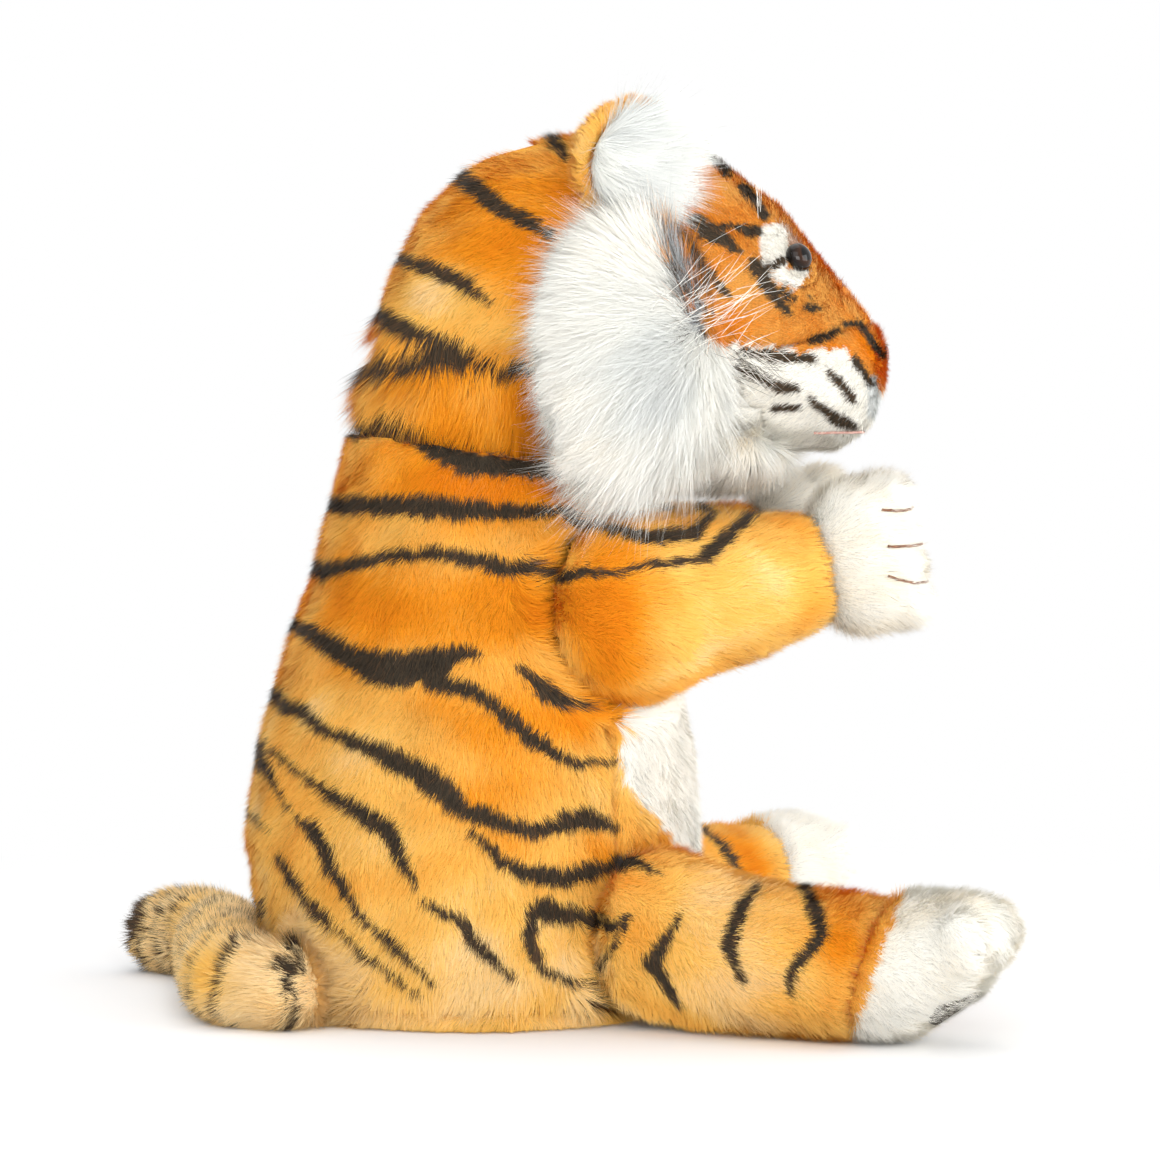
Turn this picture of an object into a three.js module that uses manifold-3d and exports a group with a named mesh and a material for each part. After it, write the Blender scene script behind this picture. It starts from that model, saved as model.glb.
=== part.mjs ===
// Tiger hand puppet: a plush glove with a turning head, two finger arms, two stuffed legs and a tail.
// Millimetres, +Z up. The tiger faces +X and its left side is +Y. It sits on z = 0.
import * as THREE from "three";
import { mergeVertices } from "three/addons/utils/BufferGeometryUtils.js";
import Module from "manifold-3d";

const wasm = await Module();
wasm.setup();

// Layers and clearances
const SEAM = 0.3;
const SLIP = 0.5;
const SWING_ROOM = 0.7;
const BODY_PLUSH = 6;
const HEAD_PLUSH = 4;
const LIMB_PLUSH = 4;
const LINING = 1.6;
const BAND = 1.2;
const FILL_GAP = 0.5;
const OPEN_END = 4;

// Body glove, from the hem up: height, back and front line, half width
const BODY = [
  { at: 0, low: -59, high: 60, half: 56 },
  { at: 18, low: -64.5, high: 64, half: 58 },
  { at: 54, low: -70.5, high: 66, half: 57.5 },
  { at: 93, low: -62.5, high: 61, half: 53 },
  { at: 132, low: -49, high: 47, half: 47 },
  { at: 153, low: -44, high: 42, half: 43 },
  { at: 185, low: -36, high: 34, half: 35 },
];
const HEM_HEIGHT = 6;
const BELLY_HALF_ANGLE = 55;

// Neck: the ball that the head turns and nods on, and the rim of the body round it
const NECK = new THREE.Vector3(-2, 0, 182);
const NECK_RADIUS = 33;
const RIM_BELOW_NECK = 15;
const RIM_SLOPE = 9.5;
const NECK_BAND_HEIGHT = 8;
const HEAD_REST_TURN = 10;
const NOD_UP = 20;
const NOD_DOWN = 4;

// Head from nape to nose, measured from the neck: lower and upper line, half width
const HEAD = [
  { at: -28, low: 8, high: 20, half: 12 },
  { at: -24, low: 2, high: 36, half: 23 },
  { at: -18, low: -2, high: 48, half: 28 },
  { at: -8, low: -2, high: 65, half: 34 },
  { at: 10, low: -3, high: 75, half: 40 },
  { at: 30, low: -8, high: 79, half: 42 },
  { at: 47, low: -12, high: 78.5, half: 41.5 },
  { at: 63, low: -13, high: 76, half: 39.5 },
  { at: 79, low: -13, high: 70, half: 36.5 },
  { at: 91, low: -14.5, high: 58.5, half: 31.5 },
  { at: 103, low: -15.5, high: 42, half: 26.5 },
  { at: 114, low: -13.5, high: 30, half: 22.5 },
  { at: 120, low: -5.5, high: 23, half: 16 },
  { at: 122.5, low: 4, high: 18, half: 9 },
];
const MUZZLE_START = 79;
const MUZZLE_TOP_BACK = 13;
const MUZZLE_TOP_FRONT = 24;
const MOUTH_LINE = -2;
const CHIN_START = 86;
const NOSE = { at: 119.8, up: 13.5, long: 10, wide: 16, tall: 11 };
const EYE = { at: 94.5, below: 12.7, yaw: 40, pitch: 22, diameter: 8.6, dome: 3.4 };
const SHANK = { across: 3, long: 13 };
const EYE_STEPS = 4;
const WASHER = { diameter: 12, thick: 1.5, below: 6.5 };
const EYE_PATCH = { wide: 19, tall: 18, thick: 1.3 };
const EAR = { at: 45, out: 37, up: 70, wide: 37, tall: 35, thick: 12, rim: 5, cup: 4.5, yaw: 53, lean: 14 };
const RUFF = { at: 47, out: 44, up: 14.5, long: 54, tall: 80, thick: 36, yaw: 8 };
const THROAT = { at: 71, up: -14, long: 50, wide: 54, tall: 20 };

// Finger pocket in the head: depth, half length and half width of its bore
const POCKET = [
  { at: -31, low: -15, high: 17, half: 19 },
  { at: 0, low: -12, high: 18, half: 19 },
  { at: 30, low: -7, high: 21, half: 17 },
  { at: 42, low: 0, high: 16, half: 10 },
];

// Arm: where it leaves the body, and its sleeve measured from the shoulder
const SHOULDER = { height: 122, angle: 47, out: 6 };
const SHOULDER_RADIUS = 28;
const ARM_RISE = 11.5;
const ARM = [
  { at: 0, low: -26, high: 26.5, half: 25.5 },
  { at: 20, low: -24.5, high: 23, half: 22.5 },
  { at: 38, low: -22, high: 19.8, half: 20 },
  { at: 57, low: -17, high: 15.8, half: 16 },
];
const ARM_MOUTH = 8;
const ARM_BAND_HEIGHT = 6;
const PAW = { at: 70, long: 35, wide: 33, tall: 46 };
const PAW_TOE = { at: 80, long: 17, wide: 24, tall: 14, spread: 10.6 };
const ARM_OUT = 25;
const ARM_IN = 10;
const ARM_DOWN = 40;
const ARM_UP = 5;

// Leg: where it leaves the body, its splay, and its shape measured from the hip
const HIP = { height: 21, angle: 49, out: 16 };
const LEG_SPLAY = 35;
const LEG = [
  { at: -30, low: -10, high: 20, half: 12 },
  { at: -18, low: -18, high: 34, half: 21 },
  { at: 2, low: -21, high: 29, half: 24 },
  { at: 26, low: -21, high: 22.5, half: 22 },
  { at: 72, low: -21, high: 20, half: 19.5 },
];
const FOOT = [
  { at: 44, low: -21, high: 19, half: 18 },
  { at: 62, low: -21, high: 22, half: 20.5 },
  { at: 81, low: -14, high: 23.5, half: 21 },
  { at: 91, low: -3, high: 22.5, half: 19 },
  { at: 96, low: 5, high: 17, half: 12 },
];
const FOOT_TOE = { at: 89, up: 11, long: 16, wide: 12, tall: 20, spread: 10 };
const ANKLE = 58.5;
const ANKLE_SLOPE = 16;
const SOLE_PAD = { at: 84, up: -10, wide: 24, long: 17, thick: 1.3, face: 48 };
const TOE_STEPS = [-1.5, -0.5, 0.5, 1.5];
const LEG_UP = 15;
const LEG_DOWN = 50;
const LEG_STEPS = 3;

// Tail along the floor, from the rump to its tip
const TAIL_PATH = [
  [-46, -23],
  [-57, -35],
  [-69, -35],
  [-76, -21],
  [-76, 4],
  [-74, 33],
  [-73, 58],
  [-80, 79],
  [-95, 89],
];
const TAIL_RADIUS = 13.5;
const TAIL_BLUNT = 2;
const TAIL_TIP_LENGTH = 30;
const TAIL_AWAY = 35;

// Colours
const ORANGE = 0xe08a28;
const WHITE = 0xeeeae2;
const BLACK = 0x2a2622;
const CLOTH = 0xd9c9a8;
const FILLING = 0xf4f2ea;
const PINK = 0x9a5a4c;
const PLUSH = 0.95;
const SATIN = 0.6;
const GLOSS = 0.1;

// Reach of the cutting blocks, and how close points are welded
const FAR = 400;
const WELD = 1e-4;

// Facets round each kind of form, and along it
const BODY_SIDES = 20;
const BODY_ROWS = 7;
const GLOVE_SIDES = 16;
const GLOVE_ROWS = 5;
const HEAD_SIDES = 14;
const HEAD_ROWS = 10;
const LIMB_SIDES = 12;
const LIMB_ROWS = 4;
const BALL_SIDES = 16;
const BALL_ROWS = 8;
const PAD_SIDES = 12;
const PAD_ROWS = 8;
const TOE_SIDES = 8;
const TOE_ROWS = 5;
const TAIL_SIDES = 8;
const TAIL_ROWS = 18;
const FACET = 1 / Math.cos(Math.PI / BALL_SIDES);

const radians = THREE.MathUtils.degToRad;
const UP = new THREE.Vector3(0, 0, 1);
const AHEAD = new THREE.Vector3(1, 0, 0);
const ASIDE = new THREE.Vector3(0, 1, 0);

// Solids and meshes
function solidOf(geometry) {
  const bare = geometry.clone();
  bare.deleteAttribute("normal");
  bare.deleteAttribute("uv");
  const merged = mergeVertices(bare, WELD);
  const vertProperties = new Float32Array(merged.attributes.position.array);
  const triVerts = new Uint32Array(merged.index.array);
  return new wasm.Manifold(new wasm.Mesh({ numProp: 3, vertProperties, triVerts }));
}

function geometryOf(solid) {
  const mesh = solid.getMesh();
  const geometry = new THREE.BufferGeometry();
  geometry.setAttribute("position", new THREE.BufferAttribute(mesh.vertProperties, 3));
  geometry.setIndex(new THREE.BufferAttribute(mesh.triVerts, 1));
  geometry.computeVertexNormals();
  return geometry;
}

function piece(name, solid, color, roughness = PLUSH) {
  const material = new THREE.MeshStandardMaterial({ color, roughness, metalness: 0 });
  const mesh = new THREE.Mesh(geometryOf(solid), material);
  mesh.name = name;
  return mesh;
}

function moved(solid, matrix) {
  return solid.transform(matrix.elements);
}

function shifted(solid, x, y, z) {
  return moved(solid, new THREE.Matrix4().makeTranslation(x, y, z));
}

// One turn about a pivot
function turnAbout(pivot, axis, degrees) {
  const there = new THREE.Matrix4().makeTranslation(pivot.x, pivot.y, pivot.z);
  const back = new THREE.Matrix4().makeTranslation(-pivot.x, -pivot.y, -pivot.z);
  const turn = new THREE.Matrix4().makeRotationAxis(axis, radians(degrees));
  return there.multiply(turn).multiply(back);
}

function box(xMin, xMax, yMin, yMax, zMin, zMax) {
  const geometry = new THREE.BoxGeometry(xMax - xMin, yMax - yMin, zMax - zMin);
  geometry.translate((xMin + xMax) / 2, (yMin + yMax) / 2, (zMin + zMax) / 2);
  return solidOf(geometry);
}

function ball(centre, radius, sides = BALL_SIDES, rows = BALL_ROWS) {
  const geometry = new THREE.SphereGeometry(radius, sides, rows);
  geometry.rotateX(Math.PI / 2);
  geometry.translate(centre.x, centre.y, centre.z);
  return solidOf(geometry);
}

function egg(long, wide, tall, sides = PAD_SIDES, rows = PAD_ROWS) {
  const geometry = new THREE.SphereGeometry(0.5, sides, rows);
  geometry.rotateX(Math.PI / 2);
  geometry.scale(long, wide, tall);
  return solidOf(geometry);
}

// A rod of oval section along +X, both ways from the origin
function rod(halfLength, wide, tall, sides = PAD_SIDES) {
  const geometry = new THREE.CylinderGeometry(0.5, 0.5, 2 * halfLength, sides);
  geometry.rotateZ(Math.PI / 2);
  geometry.scale(1, wide, tall);
  return solidOf(geometry);
}

// An outline in the XZ plane, extruded both ways along Y
function slab(points, halfWidth) {
  const outline = new THREE.Shape(points.map(([x, z]) => new THREE.Vector2(x, z)));
  const geometry = new THREE.ExtrudeGeometry(outline, { depth: 2 * halfWidth, bevelEnabled: false });
  geometry.rotateX(Math.PI / 2);
  geometry.translate(0, halfWidth, 0);
  return solidOf(geometry);
}

// Smooth value of one measure between stations set by hand
function between(stations, measure, at) {
  const last = stations.length - 1;
  let index = 0;
  while (index < last - 1 && at > stations[index + 1].at) index += 1;
  const a = stations[index];
  const b = stations[index + 1];
  const slope = (place) => {
    const before = stations[Math.max(place - 1, 0)];
    const after = stations[Math.min(place + 1, last)];
    return (after[measure] - before[measure]) / (after.at - before.at);
  };
  const span = b.at - a.at;
  const t = THREE.MathUtils.clamp((at - a.at) / span, 0, 1);
  const rise = 3 * t * t - 2 * t * t * t;
  const leave = t * (1 - t) * (1 - t) * span * slope(index);
  const arrive = t * t * (t - 1) * span * slope(index + 1);
  return a[measure] * (1 - rise) + b[measure] * rise + leave + arrive;
}

// A closed skin over rings of points, each end closed to the middle of its ring
function loft(rings) {
  const sides = rings[0].length;
  const points = rings.flat();
  const ends = [rings[0], rings[rings.length - 1]];
  for (const end of ends) {
    const middle = end.reduce((sum, point) => sum.add(point), new THREE.Vector3());
    points.push(middle.divideScalar(sides));
  }
  const faces = [];
  const top = (rings.length - 1) * sides;
  for (let side = 0; side < sides; side += 1) {
    const next = (side + 1) % sides;
    for (let row = 0; row < top; row += sides) {
      faces.push(row + side, row + next, row + sides + next);
      faces.push(row + side, row + sides + next, row + sides + side);
    }
    faces.push(points.length - 2, next, side);
    faces.push(points.length - 1, top + side, top + next);
  }
  const geometry = new THREE.BufferGeometry().setFromPoints(points);
  geometry.setIndex(faces);
  return solidOf(geometry);
}

// A swelling form through its stations, upright or lying, with its whole skin moved in by inset.
// An open end runs past its last station, so that it cuts right through.
function form(stations, options = {}) {
  const { upright, inset = 0, openStart, openEnd, sides = LIMB_SIDES, rows = LIMB_ROWS } = options;
  const first = stations[0].at + (openStart ? -OPEN_END : inset);
  const last = stations[stations.length - 1].at + (openEnd ? OPEN_END : -inset);
  const rings = [];
  for (let row = 0; row <= rows; row += 1) {
    const even = row / rows;
    const rounded = (1 - Math.cos(Math.PI * even)) / 2;
    const at = THREE.MathUtils.lerp(first, last, openEnd ? even : rounded);
    const low = between(stations, "low", at) + inset;
    const high = between(stations, "high", at) - inset;
    const half = between(stations, "half", at) - inset;
    const middle = (low + high) / 2;
    const reach = (high - low) / 2;
    const ring = [];
    for (let side = 0; side < sides; side += 1) {
      const angle = (2 * Math.PI * side) / sides;
      const across = Math.cos(angle);
      const around = Math.sin(angle);
      if (upright) ring.push(new THREE.Vector3(middle + reach * across, half * around, at));
      else ring.push(new THREE.Vector3(at, half * across, middle + reach * around));
    }
    rings.push(ring);
  }
  return loft(rings);
}

// What is left of a moving piece once its neighbour is cleared at every pose
function carve(solid, neighbour, poses) {
  let left = solid;
  for (const pose of poses) left = left.subtract(moved(neighbour, pose.clone().invert()));
  return left;
}

// A point outside the body at a height, at an angle from straight ahead to the tiger's right
function besideBody(height, angle, out) {
  const low = between(BODY, "low", height);
  const high = between(BODY, "high", height);
  const half = between(BODY, "half", height);
  const reach = (high - low) / 2;
  const across = Math.cos(radians(angle));
  const aside = -Math.sin(radians(angle));
  const surface = new THREE.Vector3((low + high) / 2 + reach * across, half * aside, height);
  const normal = new THREE.Vector3(across / reach, aside / half, 0).normalize();
  return { point: surface.addScaledVector(normal, out), normal };
}

function mirrored(solid) {
  return moved(solid, new THREE.Matrix4().makeScale(1, -1, 1));
}

function bothSides(solid) {
  return solid.add(mirrored(solid));
}

// Places that several pieces share
const shoulder = besideBody(SHOULDER.height, SHOULDER.angle, SHOULDER.out);
const hip = besideBody(HIP.height, HIP.angle, HIP.out);
const origin = new THREE.Vector3();
const liningInset = BODY_PLUSH + FILL_GAP;
const gloveInset = liningInset + LINING;

// Radii round the neck's and the shoulder's ball, wide enough for the flats of their facets
const neckBand = (NECK_RADIUS + SLIP) * FACET;
const neckSocket = (neckBand + BAND + SLIP) * FACET * FACET;
const shoulderSocket = (SHOULDER_RADIUS + SLIP) * FACET * FACET;
const shoulderHollow = SHOULDER_RADIUS - LIMB_PLUSH;
const shoulderBand = shoulderHollow / FACET / FACET - SLIP - BAND;

// Everything of the body that lies above its slanting neck rim
function aboveRim() {
  const above = box(-FAR, FAR, -FAR, FAR, 0, FAR);
  const slope = new THREE.Matrix4().makeRotationAxis(ASIDE, radians(RIM_SLOPE));
  return shifted(moved(above, slope), NECK.x, NECK.y, NECK.z - RIM_BELOW_NECK);
}

const neckCut = ball(NECK, neckSocket).add(aboveRim());
const armCuts = bothSides(ball(shoulder.point, shoulderSocket));
const bodyOpenings = neckCut.add(armCuts);
const aboveHem = box(-FAR, FAR, -FAR, FAR, HEM_HEIGHT + SEAM, FAR);
const underHem = box(-FAR, FAR, -FAR, FAR, 0, HEM_HEIGHT);
const underFloor = box(-FAR, FAR, -FAR, FAR, -FAR, 0);

function bodyForm(inset, open) {
  const sides = inset > 0 ? GLOVE_SIDES : BODY_SIDES;
  const rows = inset > 0 ? GLOVE_ROWS : BODY_ROWS;
  return form(BODY, { upright: true, inset, openStart: open, openEnd: open, sides, rows });
}

// The whole body as the moving pieces have to clear it
const bodyBlock = bodyForm(-SWING_ROOM, true);

// Body: two striped sides, a white belly, the hem and the glove lining
function makeBody() {
  const wall = bodyForm(0, true).subtract(bodyForm(BODY_PLUSH, true));
  const plush = wall.intersect(aboveHem).subtract(bodyOpenings);
  const reach = FAR * Math.cos(radians(BELLY_HALF_ANGLE));
  const spread = FAR * Math.sin(radians(BELLY_HALF_ANGLE));
  const wedge = new THREE.Shape();
  wedge.moveTo(0, 0);
  wedge.lineTo(reach, -spread);
  wedge.lineTo(reach, spread);
  const front = solidOf(new THREE.ExtrudeGeometry(wedge, { depth: FAR, bevelEnabled: false }));
  const rightHalf = box(-FAR, FAR, -FAR, -SEAM / 2, -FAR, FAR);
  const rightPanel = plush.subtract(front).intersect(rightHalf);
  const belly = plush.intersect(shifted(front, SEAM / Math.sin(radians(BELLY_HALF_ANGLE)), 0, 0));
  const cloth = bodyForm(liningInset, true).subtract(bodyForm(gloveInset, true));
  const lining = cloth.intersect(aboveHem).subtract(bodyOpenings);
  const hem = bodyForm(0, true).subtract(bodyForm(gloveInset, true)).intersect(underHem);
  const body = new THREE.Group();
  body.add(piece("right_side_panel", rightPanel, ORANGE));
  body.add(piece("left_side_panel", mirrored(rightPanel), ORANGE));
  body.add(piece("belly_panel", belly, WHITE));
  body.add(piece("glove_lining", lining, CLOTH));
  body.add(piece("hem_band", hem, ORANGE));
  return body;
}

// A sewn ring of a ball's shape, between two planes square to its axis
function ballRing(inner, axis, from, to) {
  const outer = inner + BAND;
  const arc = (reach) => [from, to].map((at) => [Math.sqrt(reach ** 2 - at ** 2), at]);
  const outline = [...arc(inner).reverse(), ...arc(outer)];
  outline.push(outline[0]);
  const profile = outline.map(([out, at]) => new THREE.Vector2(out, at));
  const ring = solidOf(new THREE.LatheGeometry(profile, BALL_SIDES));
  const turn = new THREE.Quaternion().setFromUnitVectors(ASIDE, axis);
  return moved(ring, new THREE.Matrix4().makeRotationFromQuaternion(turn));
}

function makeNeckBand() {
  const down = new THREE.Vector3(0, 0, -1).applyAxisAngle(ASIDE, radians(RIM_SLOPE));
  const ring = ballRing(neckBand, down, RIM_BELOW_NECK, RIM_BELOW_NECK + NECK_BAND_HEIGHT);
  const band = piece("neck_band", ring, CLOTH);
  band.position.copy(NECK);
  return band;
}

// Head, built about the neck and looking straight ahead
const headPose = new THREE.Matrix4().makeTranslation(NECK.x, NECK.y, NECK.z);
headPose.multiply(new THREE.Matrix4().makeRotationAxis(UP, radians(-HEAD_REST_TURN)));

function headForm(inset) {
  const skull = form(HEAD, { inset, sides: HEAD_SIDES, rows: HEAD_ROWS });
  const sides = inset > 0 ? TOE_SIDES : BALL_SIDES;
  const rows = inset > 0 ? TOE_ROWS : BALL_ROWS;
  return skull.add(ball(origin, NECK_RADIUS - inset, sides, rows));
}

const headPoses = [-NOD_DOWN, 0, NOD_UP].map((nod) => turnAbout(origin, ASIDE, -nod));

// The body's rim as the head sees it
const rimBlock = moved(bodyBlock.subtract(neckCut), headPose.clone().invert());

// Half the head's width at a place along it and a height
function headSide(at, up) {
  const low = between(HEAD, "low", at);
  const high = between(HEAD, "high", at);
  const height = (2 * up - low - high) / (high - low);
  return between(HEAD, "half", at) * Math.sqrt(1 - height * height);
}

// Pose of the right eye, with +X out of the face
function eyePose() {
  const up = between(HEAD, "high", EYE.at) - EYE.below;
  const pose = new THREE.Matrix4().makeTranslation(EYE.at, -headSide(EYE.at, up), up);
  pose.multiply(new THREE.Matrix4().makeRotationAxis(UP, radians(-EYE.yaw)));
  return pose.multiply(new THREE.Matrix4().makeRotationAxis(ASIDE, radians(-EYE.pitch)));
}

const eyeLift = EYE_PATCH.thick + 3 * SEAM;

function makeEye() {
  const back = eyeLift - SHANK.long;
  const profile = [new THREE.Vector2(0, back), new THREE.Vector2(SHANK.across / 2, back)];
  profile.push(new THREE.Vector2(SHANK.across / 2, eyeLift));
  for (let step = 0; step < EYE_STEPS; step += 1) {
    const angle = (Math.PI / 2) * (step / EYE_STEPS);
    const out = (EYE.diameter / 2) * Math.cos(angle);
    profile.push(new THREE.Vector2(out, eyeLift + EYE.dome * Math.sin(angle)));
  }
  profile.push(new THREE.Vector2(0, eyeLift + EYE.dome));
  const geometry = new THREE.LatheGeometry(profile, PAD_SIDES);
  geometry.rotateZ(-Math.PI / 2);
  return moved(solidOf(geometry), eyePose());
}

function shankHole() {
  const bore = SHANK.across + 2 * SEAM;
  return rod(SHANK.long + SEAM, bore, bore);
}

// The washer that locks the shank inside the head, with room round it
function washerDisc(room) {
  const across = WASHER.diameter + 2 * room;
  return shifted(rod(WASHER.thick / 2 + room, across, across), -WASHER.below, 0, 0);
}

function makeEyePatch() {
  const layer = headForm(-SEAM - EYE_PATCH.thick).subtract(headForm(-SEAM));
  const across = EYE.diameter + SEAM;
  const button = shifted(rod(EYE.dome, across, across), eyeLift + EYE.dome - SEAM, 0, 0);
  const round = rod(EYE.diameter, EYE_PATCH.wide, EYE_PATCH.tall).subtract(shankHole()).subtract(button);
  return layer.intersect(moved(round, eyePose()));
}

// Right ear: a cupped back and its white front, turned to the side and leaning out
function makeEar(head) {
  const pose = new THREE.Matrix4().makeTranslation(EAR.at, -EAR.out, EAR.up);
  pose.multiply(new THREE.Matrix4().makeRotationAxis(AHEAD, radians(EAR.lean)));
  pose.multiply(new THREE.Matrix4().makeRotationAxis(UP, radians(-EAR.yaw)));
  const whole = egg(EAR.thick, EAR.wide, EAR.tall);
  const hollow = egg(EAR.thick, EAR.wide - EAR.rim, EAR.tall - EAR.rim);
  const back = whole.subtract(shifted(hollow, EAR.cup, 0, 0));
  const flush = box(-FAR, EAR.thick / 2, -FAR, FAR, -FAR, FAR);
  const front = shifted(hollow, EAR.cup + SEAM, 0, 0).intersect(flush);
  return { back: moved(back, pose).subtract(head), front: moved(front, pose).subtract(head) };
}

// Right cheek's pad of long pile, with room round it
function ruffPad(room) {
  const pad = egg(RUFF.long + 2 * room, RUFF.thick + 2 * room, RUFF.tall + 2 * room);
  const pose = new THREE.Matrix4().makeTranslation(RUFF.at, -RUFF.out, RUFF.up);
  pose.multiply(new THREE.Matrix4().makeRotationAxis(UP, radians(RUFF.yaw)));
  return moved(pad, pose);
}

// The muzzle's and the chin's parts of the head, seen from the side
function muzzleOutline(gap) {
  const slope = (MUZZLE_TOP_FRONT - MUZZLE_TOP_BACK) / (HEAD[HEAD.length - 1].at - MUZZLE_START);
  const topFront = MUZZLE_TOP_BACK + slope * (FAR - MUZZLE_START);
  return [
    [MUZZLE_START + gap, MOUTH_LINE + gap],
    [FAR, MOUTH_LINE + gap],
    [FAR, topFront - gap],
    [MUZZLE_START + gap, MUZZLE_TOP_BACK - gap],
  ];
}

function chinOutline(gap) {
  return [
    [CHIN_START + gap, -FAR],
    [FAR, -FAR],
    [FAR, MOUTH_LINE],
    [CHIN_START + gap, MOUTH_LINE],
  ];
}

function makeHead() {
  const outside = headForm(-2 * SEAM);
  const pocket = (inset, openStart) => form(POCKET, { upright: true, inset, openStart });
  const pocketRoom = pocket(-LINING - FILL_GAP, true);
  const eyeRoom = bothSides(moved(shankHole().add(washerDisc(SEAM)), eyePose()));
  const innerRoom = pocketRoom.add(eyeRoom);
  const shell = headForm(0).subtract(headForm(HEAD_PLUSH)).subtract(innerRoom);
  const muzzle = shell.intersect(slab(muzzleOutline(SEAM), FAR));
  const chin = shell.intersect(slab(chinOutline(SEAM), FAR));
  const skin = shell.subtract(slab(muzzleOutline(0), FAR)).subtract(slab(chinOutline(0), FAR));
  const nose = shifted(egg(NOSE.long, NOSE.wide, NOSE.tall), NOSE.at, 0, NOSE.up).subtract(outside);
  const ruff = carve(ruffPad(0).subtract(outside), rimBlock, headPoses);
  const ruffRoom = bothSides(ruffPad(SEAM));
  const bib = shifted(egg(THROAT.long, THROAT.wide, THROAT.tall), THROAT.at, 0, THROAT.up);
  const throat = carve(bib.subtract(outside).subtract(ruffRoom), rimBlock, headPoses);
  const ear = makeEar(outside.add(ruffRoom));
  const washer = moved(washerDisc(0).subtract(shankHole()), eyePose());
  const head = new THREE.Group();
  headPose.decompose(head.position, head.quaternion, head.scale);
  head.add(piece("head_skin", carve(skin, rimBlock, headPoses), ORANGE));
  head.add(piece("muzzle_panel", muzzle, WHITE));
  head.add(piece("chin_panel", chin, WHITE));
  head.add(piece("head_stuffing", headForm(HEAD_PLUSH + FILL_GAP).subtract(innerRoom), FILLING));
  const pocketCloth = pocket(-LINING, false).subtract(pocket(0, true)).intersect(headForm(0));
  head.add(piece("finger_pocket", pocketCloth, CLOTH));
  head.add(piece("nose", nose, PINK, SATIN));
  head.add(piece("throat_ruff", throat, WHITE));
  const pairs = [
    ["cheek_ruff", ruff, WHITE, PLUSH],
    ["ear_back", ear.back, ORANGE, PLUSH],
    ["ear_front", ear.front, WHITE, PLUSH],
    ["eye", makeEye(), BLACK, GLOSS],
    ["eye_washer", washer, WHITE, SATIN],
    ["eye_patch", makeEyePatch(), WHITE, PLUSH],
  ];
  for (const [name, solid, color, roughness] of pairs) {
    head.add(piece(`right_${name}`, solid, color, roughness));
    head.add(piece(`left_${name}`, mirrored(solid), color, roughness));
  }
  return head;
}

// Four toes beside each other, added to the paw they belong to
function withToes(paw, toe, place) {
  let whole = paw;
  for (const step of TOE_STEPS) {
    const lobe = egg(toe.long, toe.wide, toe.tall, TOE_SIDES, TOE_ROWS);
    whole = whole.add(shifted(lobe, ...place(step * toe.spread)));
  }
  return whole;
}

// Right arm, built about the shoulder with +X towards the paw
const armPose = new THREE.Matrix4().makeTranslation(shoulder.point.x, shoulder.point.y, shoulder.point.z);
const armRise = new THREE.Matrix4().makeRotationAxis(ASIDE, radians(-ARM_RISE));
armPose.multiply(armRise);

function armPoses() {
  const reaches = [
    [-ARM_OUT, -ARM_DOWN],
    [0, -ARM_DOWN],
    [0, 0],
    [ARM_IN, ARM_UP],
  ];
  return reaches.map(([inward, lift]) => {
    const turn = turnAbout(origin, UP, inward).multiply(turnAbout(origin, ASIDE, -lift));
    return armRise.clone().invert().multiply(turn).multiply(armRise);
  });
}

function palm(inset) {
  const size = [PAW.long - 2 * inset, PAW.wide - 2 * inset, PAW.tall - 2 * inset];
  const pad = inset > 0 ? egg(...size, TOE_SIDES, TOE_ROWS) : egg(...size);
  return shifted(pad, PAW.at, 0, 0);
}

function makeArm(side) {
  const wrist = ARM[ARM.length - 1].at;
  const bodySeen = moved(bodyBlock.subtract(neckCut), armPose.clone().invert());
  const shaft = carve(form(ARM), bodySeen, armPoses());
  const inward = shoulder.normal.clone().negate().transformDirection(armPose.clone().invert());
  const turn = new THREE.Quaternion().setFromUnitVectors(AHEAD, inward);
  const beyond = box(ARM_MOUTH, FAR, -FAR, FAR, -FAR, FAR);
  const mouth = moved(beyond, new THREE.Matrix4().makeRotationFromQuaternion(turn));
  const bore = (inset) => form(ARM, { inset, openEnd: true });
  const hollow = bore(LIMB_PLUSH).add(ball(origin, shoulderHollow));
  const pastWrist = box(wrist + SEAM, FAR, -FAR, FAR, -FAR, FAR);
  const beforeWrist = box(shoulderHollow - SEAM, wrist, -FAR, FAR, -FAR, FAR);
  const sleeve = shaft.add(ball(origin, SHOULDER_RADIUS)).subtract(hollow).subtract(mouth);
  const cloth = bore(LIMB_PLUSH + SEAM).subtract(bore(LIMB_PLUSH + SEAM + LINING)).intersect(beforeWrist);
  const mitten = withToes(palm(0), PAW_TOE, (offset) => [PAW_TOE.at, 0, offset]);
  const paw = mitten.subtract(palm(LIMB_PLUSH)).intersect(pastWrist);
  const arm = new THREE.Group();
  armPose.decompose(arm.position, arm.quaternion, arm.scale);
  arm.add(piece(`${side}_arm_sleeve`, sleeve, ORANGE));
  arm.add(piece(`${side}_finger_sleeve`, cloth, CLOTH));
  arm.add(piece(`${side}_front_paw`, paw, WHITE));
  arm.add(piece(`${side}_front_paw_stuffing`, palm(LIMB_PLUSH + FILL_GAP).intersect(pastWrist), FILLING));
  return arm;
}

function makeArmholeBand(side) {
  const inward = shoulder.normal.clone().negate();
  const ring = ballRing(shoulderBand, inward, ARM_MOUTH - ARM_BAND_HEIGHT, ARM_MOUTH);
  const band = piece(`${side}_armhole_band`, ring, CLOTH);
  band.position.copy(shoulder.point);
  return band;
}

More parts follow.
